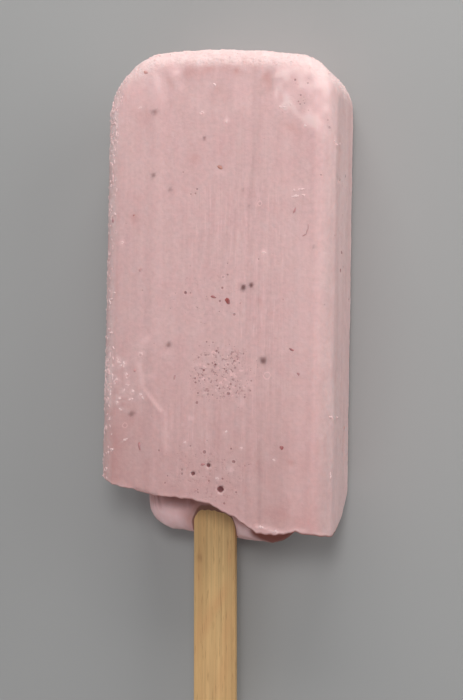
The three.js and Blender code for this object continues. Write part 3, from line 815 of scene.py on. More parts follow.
def bar_form():
    """The bar's smooth form: a box grid, rounded, crowned, with its base broken off and the
    flutes of its face raised. Also says which points lie on the base."""
    steps_x, steps_y, steps_z = BAR_STEPS
    lines = (
        crowded_lines(-HALF_WIDTH, HALF_WIDTH, steps_x, 0),
        crowded_lines(0.0, BAR_LENGTH, steps_y, 1),
        np.linspace(0.0, BAR_DEPTH, steps_z + 1),
    )
    points, quads = box_grid(lines)
    at_base = points[:, 1] == 0.0
    x, y, z = round_slab(*points.T)
    x[at_base], z[at_base] = crowd_at_mound(x[at_base], z[at_base])
    y = crown_tip(x, y)
    y = break_base(x, y, z)
    raised = smoothstep(z, BAR_DEPTH - EDGE_RADIUS, BAR_DEPTH)
    z = z + face_relief(x, y) * raised * ~at_base
    return np.stack([x, y, z], -1), quads, at_base


def vertex_normals(points, quads):
    """Unit normals of the vertices and the area round each: every quad's two diagonals give its
    area vector, and each corner takes a quarter."""
    corners = points[quads]
    area_vectors = np.cross(corners[:, 2] - corners[:, 0], corners[:, 3] - corners[:, 1]) / 2
    total = np.zeros_like(points)
    for axis in range(3):
        shares = np.repeat(area_vectors[:, axis], 4) / 4
        total[:, axis] = np.bincount(quads.ravel(), shares, minlength=len(points))
    area = np.linalg.norm(total, axis=1)
    return total / np.maximum(area, NEARLY_ZERO)[:, None], area


def on_face(points, places):
    """The (x, y) places brought onto the face: each takes the height of the nearest vertex."""
    face = points[points[:, 2] > HALF_DEPTH]
    gap = np.hypot(face[:, 0] - places[:, :1], face[:, 1] - places[:, 1:2])
    return np.column_stack([places, face[gap.argmin(axis=1), 2]])


def draw_in(points, centres, sizes, gathering):
    """Gathers vertices round small features: inside its reach, a vertex at r reaches of the way
    out moves towards the centre by pull times (1 - r^2)^2 of its distance."""
    reach, reach_by_size, pull = gathering
    for centre, size in zip(centres, sizes):
        away = points - centre
        ratio = np.linalg.norm(away, axis=1) / (reach + reach_by_size * size)
        near = ratio < 1.0
        points[near] -= away[near] * (pull * (1.0 - ratio[near] ** 2) ** 2)[:, None]
    return points


# --- Bubbles, seeds and frost ----------------------------------------------------------------


def scatter(weight, count, seed):
    """Numbers of randomly chosen vertices, with the given weights."""
    rng = np.random.default_rng(seed)
    return rng.choice(len(weight), count, replace=False, p=weight / weight.sum())


def hidden_skin(points, normals):
    """True on the sides and the back, away from the base."""
    faces_away = (normals[:, 2] < HIDDEN_TURN) & (normals[:, 1] < HIDDEN_TURN)
    return faces_away & (points[:, 1] > HIDDEN_FROM)


def bubble_places(points, normals, area):
    """Centres, diameters and looks of all bubble holes: those given, those drawn at random in
    the ellipses where they crowd, and more on the sides and the back. A look is the darkness, how
    pale the rim is, and how deep the finish makes the hole."""
    rng = np.random.default_rng(BUBBLE_DRAW)
    pits, rings = np.array(PITS), np.array(RINGS)
    places = [pits[:, :2], rings[:, :2]]
    sizes = [pits[:, 2], rings[:, 2]]
    for x, y, half_width, half_height, count, smallest, largest, _ in BUBBLE_PATCHES:
        turn = rng.uniform(0.0, 2 * np.pi, count)
        out = CROWD_REACH * rng.uniform(0.0, 1.0, count) ** CROWD_SPREAD
        places.append(np.column_stack([
            x + half_width * out * np.cos(turn),
            y + half_height * out * np.sin(turn),
        ]))
        sizes.append(lerp(smallest, largest, rng.uniform(0.0, 1.0, count) ** 2))
    centres = on_face(points, np.concatenate(places))
    hidden = points[scatter(area * hidden_skin(points, normals), HIDDEN_BUBBLES, HIDDEN_BUBBLE_DRAW)]
    sizes.append(lerp(*HIDDEN_BUBBLE_SIZES, rng.uniform(0.0, 1.0, HIDDEN_BUBBLES) ** 2))
    centres = np.concatenate([centres, hidden])
    sizes = np.concatenate(sizes)
    given = len(pits) + len(rings)
    unplanned = rng.uniform(TINY_FAINTEST, TINY_DARKEST, len(centres) - given)
    darkness = np.concatenate([pits[:, 3], rings[:, 3], unplanned])
    paleness = RING_PALENESS * darkness
    paleness[len(pits):given] = rings[:, 4]
    depth = SMALL_HOLE_DEPTH * np.minimum(sizes, HOLLOWED_FROM)
    depth[len(pits):given] = 0.0
    return centres, sizes, np.column_stack([darkness, paleness, depth])


def seed_places(points, normals, area):
    """Centres, diameters and darkness of the seeds under the skin: those given for the face,
    and some on the back."""
    seeds = np.array(SEEDS)
    rng = np.random.default_rng(SEED_DRAW)
    back = (normals[:, 2] < BACK_TURN) & (points[:, 1] > BACK_SEEDS_FROM)
    hidden = points[scatter(area * back, BACK_SEEDS, HIDDEN_SEED_DRAW)]
    centres = np.concatenate([on_face(points, seeds[:, :2]), hidden])
    sizes = np.concatenate([seeds[:, 2], rng.uniform(*BACK_SEED_SIZES, BACK_SEEDS)])
    darkness = np.concatenate([seeds[:, 3], rng.uniform(*BACK_SEED_DARKNESS, BACK_SEEDS)])
    return centres, sizes, darkness


def sink_bubbles(points, centres, sizes):
    """Height that the larger holes give each vertex. A hole of radius R is a bowl, the square
    root of 1 - (r/R)^2 deep, in a low rim, a bell curve of r/R."""
    height = np.zeros(len(points))
    for centre, size in zip(centres, sizes):
        ratio = np.linalg.norm(points - centre, axis=1) / (size / 2)
        near = ratio < HOLE_END
        r = ratio[near]
        bowl = -HOLE_DEPTH * size * np.sqrt(np.clip(1.0 - r**2, 0.0, 1.0))
        raised = height[near] + HOLE_RIM * bell(r, HOLE_RIM_AT, HOLE_RIM_WIDTH)
        height[near] = np.where(r < 1.0, np.minimum(height[near], bowl), raised)
    return height


def mark_holes(points, quads, centres, sizes, looks):
    """For each corner of each quad, the way to it from the nearest hole's centre, in that hole's
    radii, and the hole's look. The corners of a quad share one hole, and inside a quad the way
    changes evenly, so that even a tiny hole's outline is a true circle."""
    middles = points[quads].mean(axis=1)
    nearest = np.full(len(quads), HOLE_REACH)
    owner = np.zeros(len(quads), int)
    for number, (centre, size) in enumerate(zip(centres, sizes)):
        beyond = np.linalg.norm(middles - centre, axis=1) - size / 2
        closer = beyond < nearest
        nearest[closer] = beyond[closer]
        owner[closer] = number
    found = nearest < HOLE_REACH
    way = (points[quads] - centres[owner][:, None]) / (sizes[owner] / 2)[:, None, None]
    way[~found] = NO_HOLE
    look = np.repeat(looks[owner] * found[:, None], 4, axis=0)
    return way.reshape(-1, 3), look


def show_seeds(points, centres, sizes, darkness):
    """Rise and shade that the seeds give each vertex: a core, a bell curve of the fourth power of
    the distance, in a soft halo, one of its square. A noise makes the distance uneven."""
    height, shade = np.zeros((2, len(points)))
    uneven = 1.0 + SEED_UNEVENNESS * noise(points, *SEED_NOISE)
    for centre, size, dark in zip(centres, sizes, darkness):
        ratio = np.linalg.norm(points - centre, axis=1) / (size / 2) * uneven
        core = np.exp(-((ratio / SEED_CORE_SIZE) ** 4))
        halo = bell(ratio, 0.0, SEED_HALO_SIZE)
        height += SEED_RISE * core
        shade = np.maximum(shade, dark * (SEED_CORE * core + SEED_HALO * halo))
    return height, shade


def draw_lines(points):
    """Rise and paleness that the lines give each vertex: bell curves of the distance."""
    x, y, _ = points.T
    height, pale = np.zeros((2, len(points)))
    for line, half_width, rise, paleness in LINES:
        on_line = bell(line_distance(x, y, line), 0.0, half_width)
        height += rise * on_line
        pale += paleness * on_line
    return height, pale


def show_clouds(points):
    """How rosy, or if below zero how pale, each vertex of the face is: bell curves along and
    across each cloud, two noises near the tip, a steady change and a noise towards the base, and
    the pale patch, less a pale halo round each flake of frost."""
    x, y, _ = points.T
    near_tip = TIP_SPOTTING * noise(points, *TIP_SPOT_NOISE)
    near_tip += TIP_CLOUDING * noise(points, *TIP_CLOUD_NOISE)
    total = near_tip * smoothstep(y, *TIP_CLOUDING_GROWS)
    total += BASE_ROSINESS * fall(y, *BASE_ROSY_FADES)
    total += BASE_CLOUDING * fall(y, *BASE_CLOUDING_FADES) * noise(points, *BASE_NOISE)
    into_patch = PATCH_RADIUS - np.hypot(x - PATCH_X, y - PATCH_Y)
    uneven = 1.0 + PATCH_UNEVENNESS * noise(points, *PATCH_NOISE)
    total -= PATCH_PALENESS * smoothstep(into_patch, *PATCH_PALE_INSIDE) * uneven
    total -= PATCH_RIM_PALENESS * bell(into_patch, PATCH_RIM_INSIDE, PATCH_RIM_WIDTH)
    for at_x, at_y, half_length, half_width, turn, rosiness in CLOUDS:
        total += rosiness * turned_bell(x - at_x, y - at_y, half_length, half_width, turn)
    halos = np.zeros(len(points))
    for at_x, at_y, length, width, turn, _ in FLAKES:
        size = (HALO_LENGTH * length, HALO_WIDTH * width)
        halos = np.maximum(halos, turned_bell(x - at_x, y - at_y, *size, turn))
    return total - FLAKE_HALO * halos


def near_side(points):
    """1 on the two sides and the tip's end, and 0 well inside the outline of the face."""
    inside = tip_corner(points[:, 0], points[:, 1])[2]
    return fall(inside, 1.0, EDGE_RADIUS)


def side_stripes(points, normals):
    """How rosy, or if below zero how pale, the long stripes make each vertex of the sides: bell
    curves of the height, which wanders by a noise, and a noise besides."""
    total = np.zeros(len(points))
    wander = STRIPE_WANDER * noise(points, *STRIPE_NOISE)
    for height, half_width, rosiness in SIDE_STRIPES:
        total += rosiness * bell(points[:, 2] + wander, height, half_width)
    total += SIDE_CLOUDING * noise(points, *SIDE_CLOUD_NOISE)
    return total * smoothstep(np.abs(normals[:, 0]), *STRIPE_TURN)


def painted_hollow_shade(points, normals):
    """How much painted shade each point of the base gets: close under the rim of the face, behind its
    torn lip on the right, over the stick, on the mound where that turns away from the front, and left
    of the stick, a bell curve across."""
    x, y, z = points.T
    over_rim = y - rim_level(x, 0.0)
    under_rim = smoothstep(over_rim, *RIM_SHADE_GROWS) * smoothstep(z, *RIM_SHADE_UP)
    behind_lip = smoothstep(x, *LIP_SHADE_ACROSS) * smoothstep(over_rim, *LIP_SHADE_GROWS)
    sheltered = np.maximum(RIM_SHADE * under_rim, behind_lip) * fall(over_rim, *RIM_SHADE_FADES)
    on_mound = smoothstep(mound_inside(x, z), -MOUND_FOOT, MOUND_FOOT)
    end = END_SHADE * on_mound * fall(normals[:, 2], *END_SHADE_TURN)
    end *= smoothstep(z, *END_SHADE_GROWS) * fall(z, *END_SHADE_FADES)
    end *= 1.0 + END_SHADE_UNEVENNESS * noise(points, *END_SHADE_NOISE)
    from_stick = x - STICK_FROM_MIDDLE
    left = LEFT_SHADE * on_mound * bell(from_stick, LEFT_SHADE_FROM_STICK, LEFT_SHADE_WIDTH)
    left *= smoothstep(z, *LEFT_SHADE_GROWS)
    return np.maximum.reduce([sheltered, NOTCH_SHADE * notch_share(x, z), end, left])


def rim_painted_highlight(points):
    """A painted highlight along the rim of the face: a bell curve of the height over it, stronger on
    the right, where the rim is a torn lip."""
    over_rim = points[:, 1] - rim_level(points[:, 0], 0.0)
    torn = lerp(RIM_HIGHLIGHT, LIP_HIGHLIGHT, smoothstep(points[:, 0], *LIP_ACROSS))
    return torn * bell(over_rim, RIM_HIGHLIGHT_AT, RIM_HIGHLIGHT_WIDTH)


def painted_skin_shade(points, normals):
    """How much painted shade darkens the skin towards the base, towards the left edge, and where the
    face turns round into the right side."""
    x, y, _ = points.T
    at_left = LEFT_PAINTED_SHADE * fall(x, *LEFT_PAINTED_SHADE_ACROSS) * fall(y, *LEFT_PAINTED_SHADE_FADES)
    turning = EDGE_PAINTED_SHADE * smoothstep(normals[:, 0], *EDGE_PAINTED_SHADE_TURN)
    return BASE_PAINTED_SHADE * fall(y, *BASE_PAINTED_SHADE_FADES) + at_left + turning * fall(y, *EDGE_PAINTED_SHADE_FADES)


def left_crust(points, normals):
    """How thick the crust of frost on the round left edge is: bell curves along it."""
    x, y, _ = points.T
    thick = np.full(len(points), CRUST_ELSEWHERE)
    for middle, reach, amount in CRUST:
        thick = np.maximum(thick, amount * bell(y, middle, reach))
    turned = smoothstep(-normals[:, 0], *CRUST_TURN) * smoothstep(normals[:, 2], *CRUST_UP)
    return thick * turned * fall(x, *CRUST_ACROSS)


def side_frost(normals):
    """The thin frost of the two sides, which has no grains."""
    return SIDE_FROST * smoothstep(np.abs(normals[:, 0]), *SIDE_FROST_TURN)


def frost_cover(points, normals, on_front):
    """How thickly frost lies on each vertex: on the tip, down the left edge of the face, thinly
    on the other round edges, speckled at the lower left, and in loose patches on the sides and
    the back. A noise makes each uneven."""
    x, y, _ = points.T
    coarse = noise(points, *COARSE_FROST_NOISE)
    broad = noise(points, *BROAD_FROST_NOISE)
    ragged = TIP_FROST_REACH + TIP_FROST_SPOTS * coarse + TIP_FROST_CLOUDS * broad
    toward_tip = normals[:, 1] + smoothstep(y, *TIP_RAGGED_GROWS) * ragged
    edge = smoothstep(np.abs(normals[:, 0]), *EDGE_FROST_TURN)
    edge *= smoothstep(normals[:, 2], *EDGE_FROST_UP)
    at_x, at_y = LOW_FROST_AT
    half_width, half_length = LOW_FROST_SIZE
    lower_left = bell(x, at_x, half_width) * bell(y, at_y, half_length) * on_front
    speckled = smoothstep(noise(points, *SPECKLE_NOISE), 0.0, 0.5)
    loose = smoothstep(broad, *LOOSE_FROST_GROWS) * (1.0 - on_front)
    cover = np.maximum.reduce([
        smoothstep(toward_tip, *TIP_FROST_TURN) * smoothstep(y, *TIP_FROST_GROWS),
        edge * (EDGE_FROST + EDGE_FROST_SPOTS * coarse),
        left_crust(points, normals) * (CRUST_COVER + CRUST_COVER_SPOTS * coarse),
        LOW_FROST * lower_left * speckled,
        loose * (LOOSE_FROST + LOOSE_FROST_SPOTS * coarse),
        side_frost(normals),
    ])
    return np.clip(cover, 0.0, 1.0)


def combed_mask(points):
    """Where the skin is combed by fine streaks along the mould: in soft ellipses on the face, and
    all along the sides."""
    x, y, z = points.T
    mask = np.zeros(len(points))
    for at_x, at_y, half_width, half_length in COMBED:
        out = ((x - at_x) / half_width) ** 2 + ((y - at_y) / half_length) ** 2
        mask = np.maximum(mask, np.exp(-(out**2)))
    on_side = COMBED_SIDES * smoothstep(BAR_DEPTH - z, *COMBED_DOWN)
    return np.maximum(mask * fall(y, *COMBED_FADES), on_side)


def skin_relief(points, frost):
    """Unevenness of the skin: soft lumps that grow towards the tip, broad swells, fine streaks
    along the mould, a grain, the sides' own unevenness, and the roughness of frost."""
    near_tip = smoothstep(points[:, 1], *TIP_LUMPS_GROW)
    height = (LUMPS + TIP_LUMPS * near_tip) * noise(points, *LUMP_NOISE)
    height += SWELLS * noise(points, *SWELL_NOISE)
    height += STREAKS * noise(points, *STREAK_NOISE) * (1.0 - near_tip)
    height += COMBING * noise(points, *COMB_NOISE) * combed_mask(points)
    height += GRAIN * noise(points, *GRAIN_NOISE)
    on_side = smoothstep(BAR_DEPTH - points[:, 2], *SIDE_DOWN) * near_side(points)
    height += SIDE_UNEVENNESS * on_side * noise(points, *SIDE_NOISE)
    crust = noise(points, *FINE_CRUST_NOISE) + noise(points, *COARSE_CRUST_NOISE)
    return height + FROST_ROUGHNESS * frost * crust


def porous_mask(points, on_front):
    """Where the finest pores show: ellipses with soft, uneven edges."""
    mask = np.zeros(len(points))
    uneven = PORES_UNEVENNESS * noise(points, *PORE_NOISE)
    for x, y, half_width, half_height, *_, porous in BUBBLE_PATCHES:
        out = np.hypot((points[:, 0] - x) / half_width, (points[:, 1] - y) / half_height)
        mask = np.maximum(mask, porous * fall(out + uneven, *PORES_FADE))
    return mask * on_front


def bar_surface():
    """The finished skin of the bar: its smooth form, with vertices gathered round the small
    features, moved along its normals by all relief. The back stays on its plane, and is only
    hollowed. Returns points, quads, normals, areas and the masks that colour the skin."""
    points, quads, at_base = bar_form()
    normals, area = vertex_normals(points, quads)
    bubbles, bubble_sizes, looks = bubble_places(points, normals, area)
    seeds, seed_sizes, seed_darkness = seed_places(points, normals, area)
    large = (bubble_sizes >= HOLLOWED_FROM) & (looks[:, 2] > 0.0)
    points = draw_in(points, bubbles[large], bubble_sizes[large], GATHER_AT_HOLES)
    points = draw_in(points, seeds, seed_sizes, GATHER_AT_SEEDS)
    normals, area = vertex_normals(points, quads)
    on_front = smoothstep(normals[:, 2], *FACE_TURN) * ~at_base
    hollow = painted_hollow_shade(points, normals) * at_base
    frost = frost_cover(points, normals, on_front) * ~at_base
    cloud = show_clouds(points) * on_front
    stripes = side_stripes(points, normals)
    line_height, line_paleness = draw_lines(points)
    hole_way, hole_look = mark_holes(points, quads, bubbles, bubble_sizes, looks)
    seed_height, shade = show_seeds(points, seeds, seed_sizes, seed_darkness)
    pale = line_paleness + rim_painted_highlight(points) - np.minimum(cloud, 0.0)
    # Painted shade goes into the paleness below zero.
    pale -= painted_skin_shade(points, normals)
    height = skin_relief(points, frost) - CLOUD_RELIEF * cloud + line_height * on_front
    height += sink_bubbles(points, bubbles[large], bubble_sizes[large]) + seed_height
    height -= np.maximum(height, 0.0) * smoothstep(-normals[:, 2], *FLAT_BACK_TURN)
    points = points + normals * height[:, None]
    points[:, 2] = np.maximum(points[:, 2], 0.0)
    normals, area = vertex_normals(points, quads)
    masks = {
        "frost": frost,
        "hole_way": hole_way,
        "hole_look": hole_look,
        "seed": shade,
        "pale": pale * on_front - np.minimum(stripes, 0.0),
        "rosy": np.maximum(np.maximum(cloud, 0.0), stripes),
        "on_base": at_base.astype(float),
        "hollow": hollow,
        "porous": porous_mask(points, on_front),
        "combed": combed_mask(points) * ~at_base,
    }
    return points, quads, normals, area, masks


# --- Fruit and frost as lumps ------------------------------------------------------------------


def unit_lump(steps):
    """A ball of radius 1 made of the six sides of a box grid, each point brought to radius 1."""
    line = np.tan(np.linspace(-np.pi / 4, np.pi / 4, steps + 1))
    points, quads = box_grid((line, line, line))
    return points / np.linalg.norm(points, axis=1)[:, None], quads


def tangents(normals):
    """Two unit vectors across each normal, the first as near to the x axis as it can be, or to
    the y axis where the normal is close to x."""
    along = np.array([1.0, 0.0, 0.0]) - normals * normals[:, :1]
    sideways = np.abs(normals[:, 0]) > CLOSE_TO_X
    along[sideways] = np.array([0.0, 1.0, 0.0]) - normals[sideways] * normals[sideways, 1:2]
    along /= np.linalg.norm(along, axis=1)[:, None]
    return along, np.cross(normals, along)


def lumps(centres, normals, sizes, turns, steps, roughness, seed):
    """Uneven lumps: balls whose radius varies by a smooth noise of their own, stretched to
    three sizes, turned about the normal by an angle, and put at their centres."""
    ball, quads = unit_lump(steps)
    count = len(centres)
    spots = ball[None] * LUMP_SCALE + np.arange(count)[:, None, None] * LUMP_APART
    swell = noise(spots.reshape(-1, 3), LUMP_SHAPE_SIZE, seed).reshape(count, -1)
    swell = 1.0 + roughness * swell
    shape = ball[None] * swell[:, :, None] * sizes[:, None, :] / 2
    cos, sin = np.cos(turns)[:, None], np.sin(turns)[:, None]
    along = shape[:, :, 0] * cos - shape[:, :, 1] * sin
    across = shape[:, :, 0] * sin + shape[:, :, 1] * cos
    first, second = tangents(normals)
    points = centres[:, None] + along[:, :, None] * first[:, None]
    points = points + across[:, :, None] * second[:, None]
    points = points + shape[:, :, 2:] * normals[:, None]
    numbers = quads[None] + (np.arange(count) * len(ball))[:, None, None]
    return points.reshape(-1, 3), numbers.reshape(-1, 4)


def side_fruit():
    """Fruit down both sides, spread by the golden ratio: places, the ways out of the sides, and
    rows of length, width, turn, tint and veil as for the face."""
    count = np.arange(SIDE_COUNT)
    side = np.where(count % 2 == 0, -1.0, 1.0)
    low = EDGE_RADIUS + SIDE_SIZE
    places = np.column_stack([
        side * HALF_WIDTH,
        lerp(SIDE_FROM, SIDE_TO, count * GOLDEN_RATIO % 1.0),
        lerp(low, BAR_DEPTH - low, (count * GOLDEN_RATIO**2 + SIDE_FIRST) % 1.0),
    ])
    outward = np.column_stack([side, np.zeros(SIDE_COUNT), np.zeros(SIDE_COUNT)])
    rows = np.column_stack([
        np.full(SIDE_COUNT, SIDE_SIZE),
        SIDE_SIZE * (SIDE_WIDTH + SIDE_WIDTH_MORE * (count * GOLDEN_RATIO % 1.0)),
        count * SIDE_TURN,
        (SIDE_TINT + count * GOLDEN_RATIO) % 1.0,
        np.full(SIDE_COUNT, SIDE_VEIL),
    ])
    return places, outward, rows


def fruit_lumps(skin):
    """Fruit bits in the face and down both sides, each sunk until little of it stands out."""
    face = np.array(FRUIT)
    side_places, side_outward, side_rows = side_fruit()
    centres = np.concatenate([on_face(skin, face[:, :2]), side_places])
    outward = np.concatenate([np.tile([0.0, 0.0, 1.0], (len(face), 1)), side_outward])
    length, width, turn, tint, veil = np.concatenate([face[:, 2:], side_rows]).T
    thick = FRUIT_THICKNESS * width
    centres = centres - outward * (thick / 2 - FRUIT_STANDS_OUT)[:, None]
    sizes = np.column_stack([length, width, thick])
    points, quads = lumps(centres, outward, sizes, np.radians(turn), *FRUIT_LUMPS)
    each = len(points) // len(tint)
    return points, quads, np.repeat(tint, each), np.repeat(veil, each)


def flake_crystals(skin):
    """The crystals of the flakes: where they lie, scattered over each flake's rectangle, the way
    out of the face, their three sizes, and how they are turned, roughly along the flake."""
    flakes = np.array(FLAKES)
    rng = np.random.default_rng(FLAKE_DRAW)
    owner = np.repeat(np.arange(len(flakes)), flakes[:, 5].astype(int))
    x, y, length, width, turn, _ = flakes[owner].T
    along = length * rng.uniform(-0.5, 0.5, len(owner))
    across = width * rng.uniform(-0.5, 0.5, len(owner))
    turn = np.radians(turn)
    places = np.column_stack([
        x + along * np.cos(turn) - across * np.sin(turn),
        y + along * np.sin(turn) + across * np.cos(turn),
    ])
    size = rng.uniform(CRYSTAL_FROM, CRYSTAL_TO, len(owner))
    sizes = size[:, None] * np.array(FLAKE_CRYSTAL)
    upright = np.tile([0.0, 0.0, 1.0], (len(owner), 1))
    turns = turn + rng.normal(0.0, CRYSTAL_TURNS, len(owner))
    return on_face(skin, places), upright, sizes, turns


def crust_crystals(skin, normals, area):
    """The crystals that make the left edge rough: where they lie, the way out of the skin there,
    their three sizes, and how they are turned, roughly along the bar."""
    rng = np.random.default_rng(CRUST_DRAW)
    crust = left_crust(skin, normals)
    chosen = scatter(area * crust**2, CRUST_CRYSTALS, CRUST_PLACE_DRAW)
    size = rng.uniform(CRYSTAL_FROM, CRYSTAL_TO, CRUST_CRYSTALS)
    sizes = size[:, None] * np.array(CRUST_CRYSTAL)
    turns = np.pi / 2 + rng.normal(0.0, CRYSTAL_TURNS, CRUST_CRYSTALS)
    return skin[chosen], normals[chosen], sizes, turns


def frost_grains(skin, normals, area, frost):
    """The fine grains, thickest where the frost mask is: where they lie, the way out of the skin
    there, their three sizes, and their random turns."""
    rng = np.random.default_rng(GRAIN_DRAW)
    thick = np.clip(frost - side_frost(normals) - THIN_FROST, 0.0, 1.0)
    thick *= 1.0 - FACE_THINNING * smoothstep(normals[:, 2], *FACE_THINNING_TURN)
    thick *= smoothstep(skin[:, 1] - rim_level(skin[:, 0], 0.0), *RIM_THINNING_GROWS)
    chosen = scatter(area * thick**GRAIN_CROWDING, FROST_GRAINS, GRAIN_PLACE_DRAW)
    size = lerp(GRAIN_FROM, GRAIN_TO, rng.uniform(0.0, 1.0, FROST_GRAINS) ** GRAIN_RARITY)
    stretch = rng.uniform(*GRAIN_STRETCH, (FROST_GRAINS, 3))
    stretch[:, 2] *= GRAIN_FLATNESS
    turns = rng.uniform(0.0, np.pi, FROST_GRAINS)
    return skin[chosen], normals[chosen], size[:, None] * stretch, turns


def frost_lumps(skin, normals, area, frost):
    """Grains of frost, the flakes on the face and the crust on the left edge, all partly sunk,
    and none below the plane of the back."""
    kinds = (
        frost_grains(skin, normals, area, frost),
        flake_crystals(skin),
        crust_crystals(skin, normals, area),
    )
    centres, directions, sizes, turns = (np.concatenate(parts) for parts in zip(*kinds))
    centres = centres - directions * (FROST_SUNK * sizes[:, 2:])
    centres[:, 2] = np.maximum(centres[:, 2], FROST_CLEARANCE * sizes.max(axis=1))
    return lumps(centres, directions, sizes, turns, *FROST_LUMPS)


# --- Stick -----------------------------------------------------------------------------------


def tube_quads(rings, around):
    """Quads between rings of points that follow each other."""
    ring = np.arange(rings - 1)[:, None] * around
    spot = np.arange(around)[None, :]
    following = (spot + 1) % around
    corners = (ring + spot, ring + following, ring + around + following, ring + around + spot)
    return np.stack(corners, -1).reshape(-1, 4)


def end_quads(around):
    """Quads that close a ring, each between two neighbours and the two opposite them."""
    spot = np.arange(around // 2 - 1)
    return np.stack([spot, spot + 1, around - 2 - spot, around - 1 - spot], -1)


def slab_section(half_width, half_thickness, across, edge):
    """A flat section with round edges, as one ring: even steps over both flat sides and a
    quarter round of radius edge at each corner. half_width is a column, one for each ring."""
    corner = np.linspace(0.0, np.pi / 2, STICK_CORNER_POINTS)
    flat = np.linspace(1.0, -1.0, across + 1)[1:-1]
    edge = np.minimum(edge, half_width * STICK_EDGE_SHARE)
    inner = half_width - edge
    depth = half_thickness - edge
    upper_right = (inner + edge * np.cos(corner), depth + edge * np.sin(corner))
    upper = (inner * flat, np.broadcast_to(half_thickness, inner.shape) + 0.0 * flat)
    upper_left = (-inner - edge * np.sin(corner), depth + edge * np.cos(corner))
    x = np.concatenate([upper_right[0], upper[0], upper_left[0]], 1)
    z = np.concatenate([upper_right[1], upper[1], upper_left[1]], 1)
    return np.concatenate([x, -x], 1), np.concatenate([z, -z], 1)


def stick_surface():
    """The stick as flat sections carried along its length. Half its width at a distance t from
    an end of radius R is the square root of R^2 - (R - t)^2, so it ends in half circles, and the
    steps narrow towards both ends. Its faces are sunk by a streaky grain."""
    along, across = STICK_STEPS
    share = np.linspace(0.0, 1.0, along + 1)
    y = STICK_LENGTH * (share - np.sin(2 * np.pi * share) / (2 * np.pi))
    y = lerp(STICK_LENGTH * share, y, STICK_NARROWING)
    radius = STICK_WIDTH / 2
    from_end = np.clip(np.minimum(y, STICK_LENGTH - y), STICK_END_GAP, radius)
    half_width = np.sqrt(radius**2 - (radius - from_end) ** 2)[:, None]
    x, z = slab_section(half_width, STICK_THICKNESS / 2, across, STICK_EDGE)
    points = np.stack([x, np.broadcast_to(y[:, None], x.shape), z], -1)
    around = x.shape[1]
    quads = tube_quads(along + 1, around)
    ends = end_quads(around)
    quads = np.concatenate([quads, ends[:, ::-1], ends + along * around])
    points = points.reshape(-1, 3)
    groove = noise(points, *GROOVE_NOISE) + FINE_GROOVES * noise(points, *FINE_GROOVE_NOISE)
    points[:, 2] *= 1.0 - WOOD_GRAIN * (1.0 + np.clip(groove, -1.0, 1.0))
    return points, quads


def wood_marks(points):
    """How warm the wood is at each vertex, and how dark with moisture, painted shade and the knot:
    turned bell curves for the clouds, one for the knot, and a smooth step along the stick, stronger at
    its right edge."""
    x, y, _ = points.T
    warm = np.zeros(len(points))
    for at_x, at_y, half_length, half_width, turn, strength in WOOD_CLOUDS:
        cloud = turned_bell(x - at_x, y - at_y, half_length, half_width, turn)
        warm = np.maximum(warm, strength * cloud)
    damp_shade_and_knot = DAMPNESS_AND_SHADE + STICK_EDGE_SHADE * smoothstep(x, *STICK_EDGE_SHADE_ACROSS)
    damp_shade_and_knot *= smoothstep(y, *DAMP_AND_SHADE_GROWS)
    from_knot = np.hypot(x - KNOT_X, (y - KNOT_Y) / KNOT_STRETCH)
    return warm, np.maximum(damp_shade_and_knot, KNOT_STRENGTH * bell(from_knot, 0.0, KNOT_RADIUS))


def place_stick(points):
    """Turns the stick by its lean about the base plane, with its lower end below that plane."""
    x, y, z = points.T
    y = y - STICK_SHOWING
    turned_x = x * math.cos(STICK_LEAN) - y * math.sin(STICK_LEAN) + STICK_FROM_MIDDLE
    turned_y = x * math.sin(STICK_LEAN) + y * math.cos(STICK_LEAN)
    return np.stack([turned_x, turned_y, z + HALF_DEPTH], -1)


# --- Meshes ----------------------------------------------------------------------------------


def bar_offset():
    """Where the bar frame's origin lies in the row frame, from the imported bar's own box."""
    low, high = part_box("ice_cream")
    return np.array([(low.x + high.x) / 2 / MM, high.y / MM - BAR_LENGTH - CROWN, 0.0])


OFFSET = bar_offset()


def to_row(points):
    """Points of the bar's frame, in millimetres, as metres of the row frame."""
    return (points + OFFSET) * MM


def make_piece(name, points, faces, material, smooth=True, **values):
    """A mesh object at the origin from points in millimetres and rows of corner numbers, with
    its named values, one for each vertex or for each face corner, as attributes."""
    mesh = bpy.data.meshes.new(name)
    corners = faces.shape[1]
    mesh.vertices.add(len(points))
    mesh.vertices.foreach_set("co", to_row(points).astype(np.float32).ravel())
    mesh.loops.add(faces.size)
    mesh.loops.foreach_set("vertex_index", faces.astype(np.int32).ravel())
    mesh.polygons.add(len(faces))
    mesh.polygons.foreach_set("loop_start", np.arange(0, faces.size, corners, dtype=np.int32))
    mesh.polygons.foreach_set("use_smooth", np.full(len(faces), smooth))
    mesh.update(calc_edges=True)
    mesh.validate()
    for label, value in values.items():
        kind, key = ("FLOAT", "value") if value.ndim == 1 else ("FLOAT_VECTOR", "vector")
        domain = "POINT" if len(value) == len(points) else "CORNER"
        layer = mesh.attributes.new(label, kind, domain)
        layer.data.foreach_set(key, value.astype(np.float32).ravel())
    mesh.materials.append(material)
    piece = bpy.data.objects.new(name, mesh)
    bpy.context.scene.collection.objects.link(piece)
    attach(piece, "root")
    return piece


# --- Materials -------------------------------------------------------------------------------

# Colours of the frozen cream, of its frost and of what lies in it.
PINK = (0.695, 0.455, 0.45, 1.0)
ROSE = (0.685, 0.41, 0.415, 1.0)
CREAM = (0.735, 0.525, 0.515, 1.0)
FROST = (0.82, 0.62, 0.61, 1.0)
PALE = (0.88, 0.59, 0.59, 1.0)
PALEST = (0.93, 0.69, 0.68, 1.0)
ICE = (0.815, 0.608, 0.598, 1.0)
BLUSH = (0.60, 0.28, 0.26, 1.0)
SEED_SHADE = (0.15, 0.065, 0.065, 1.0)
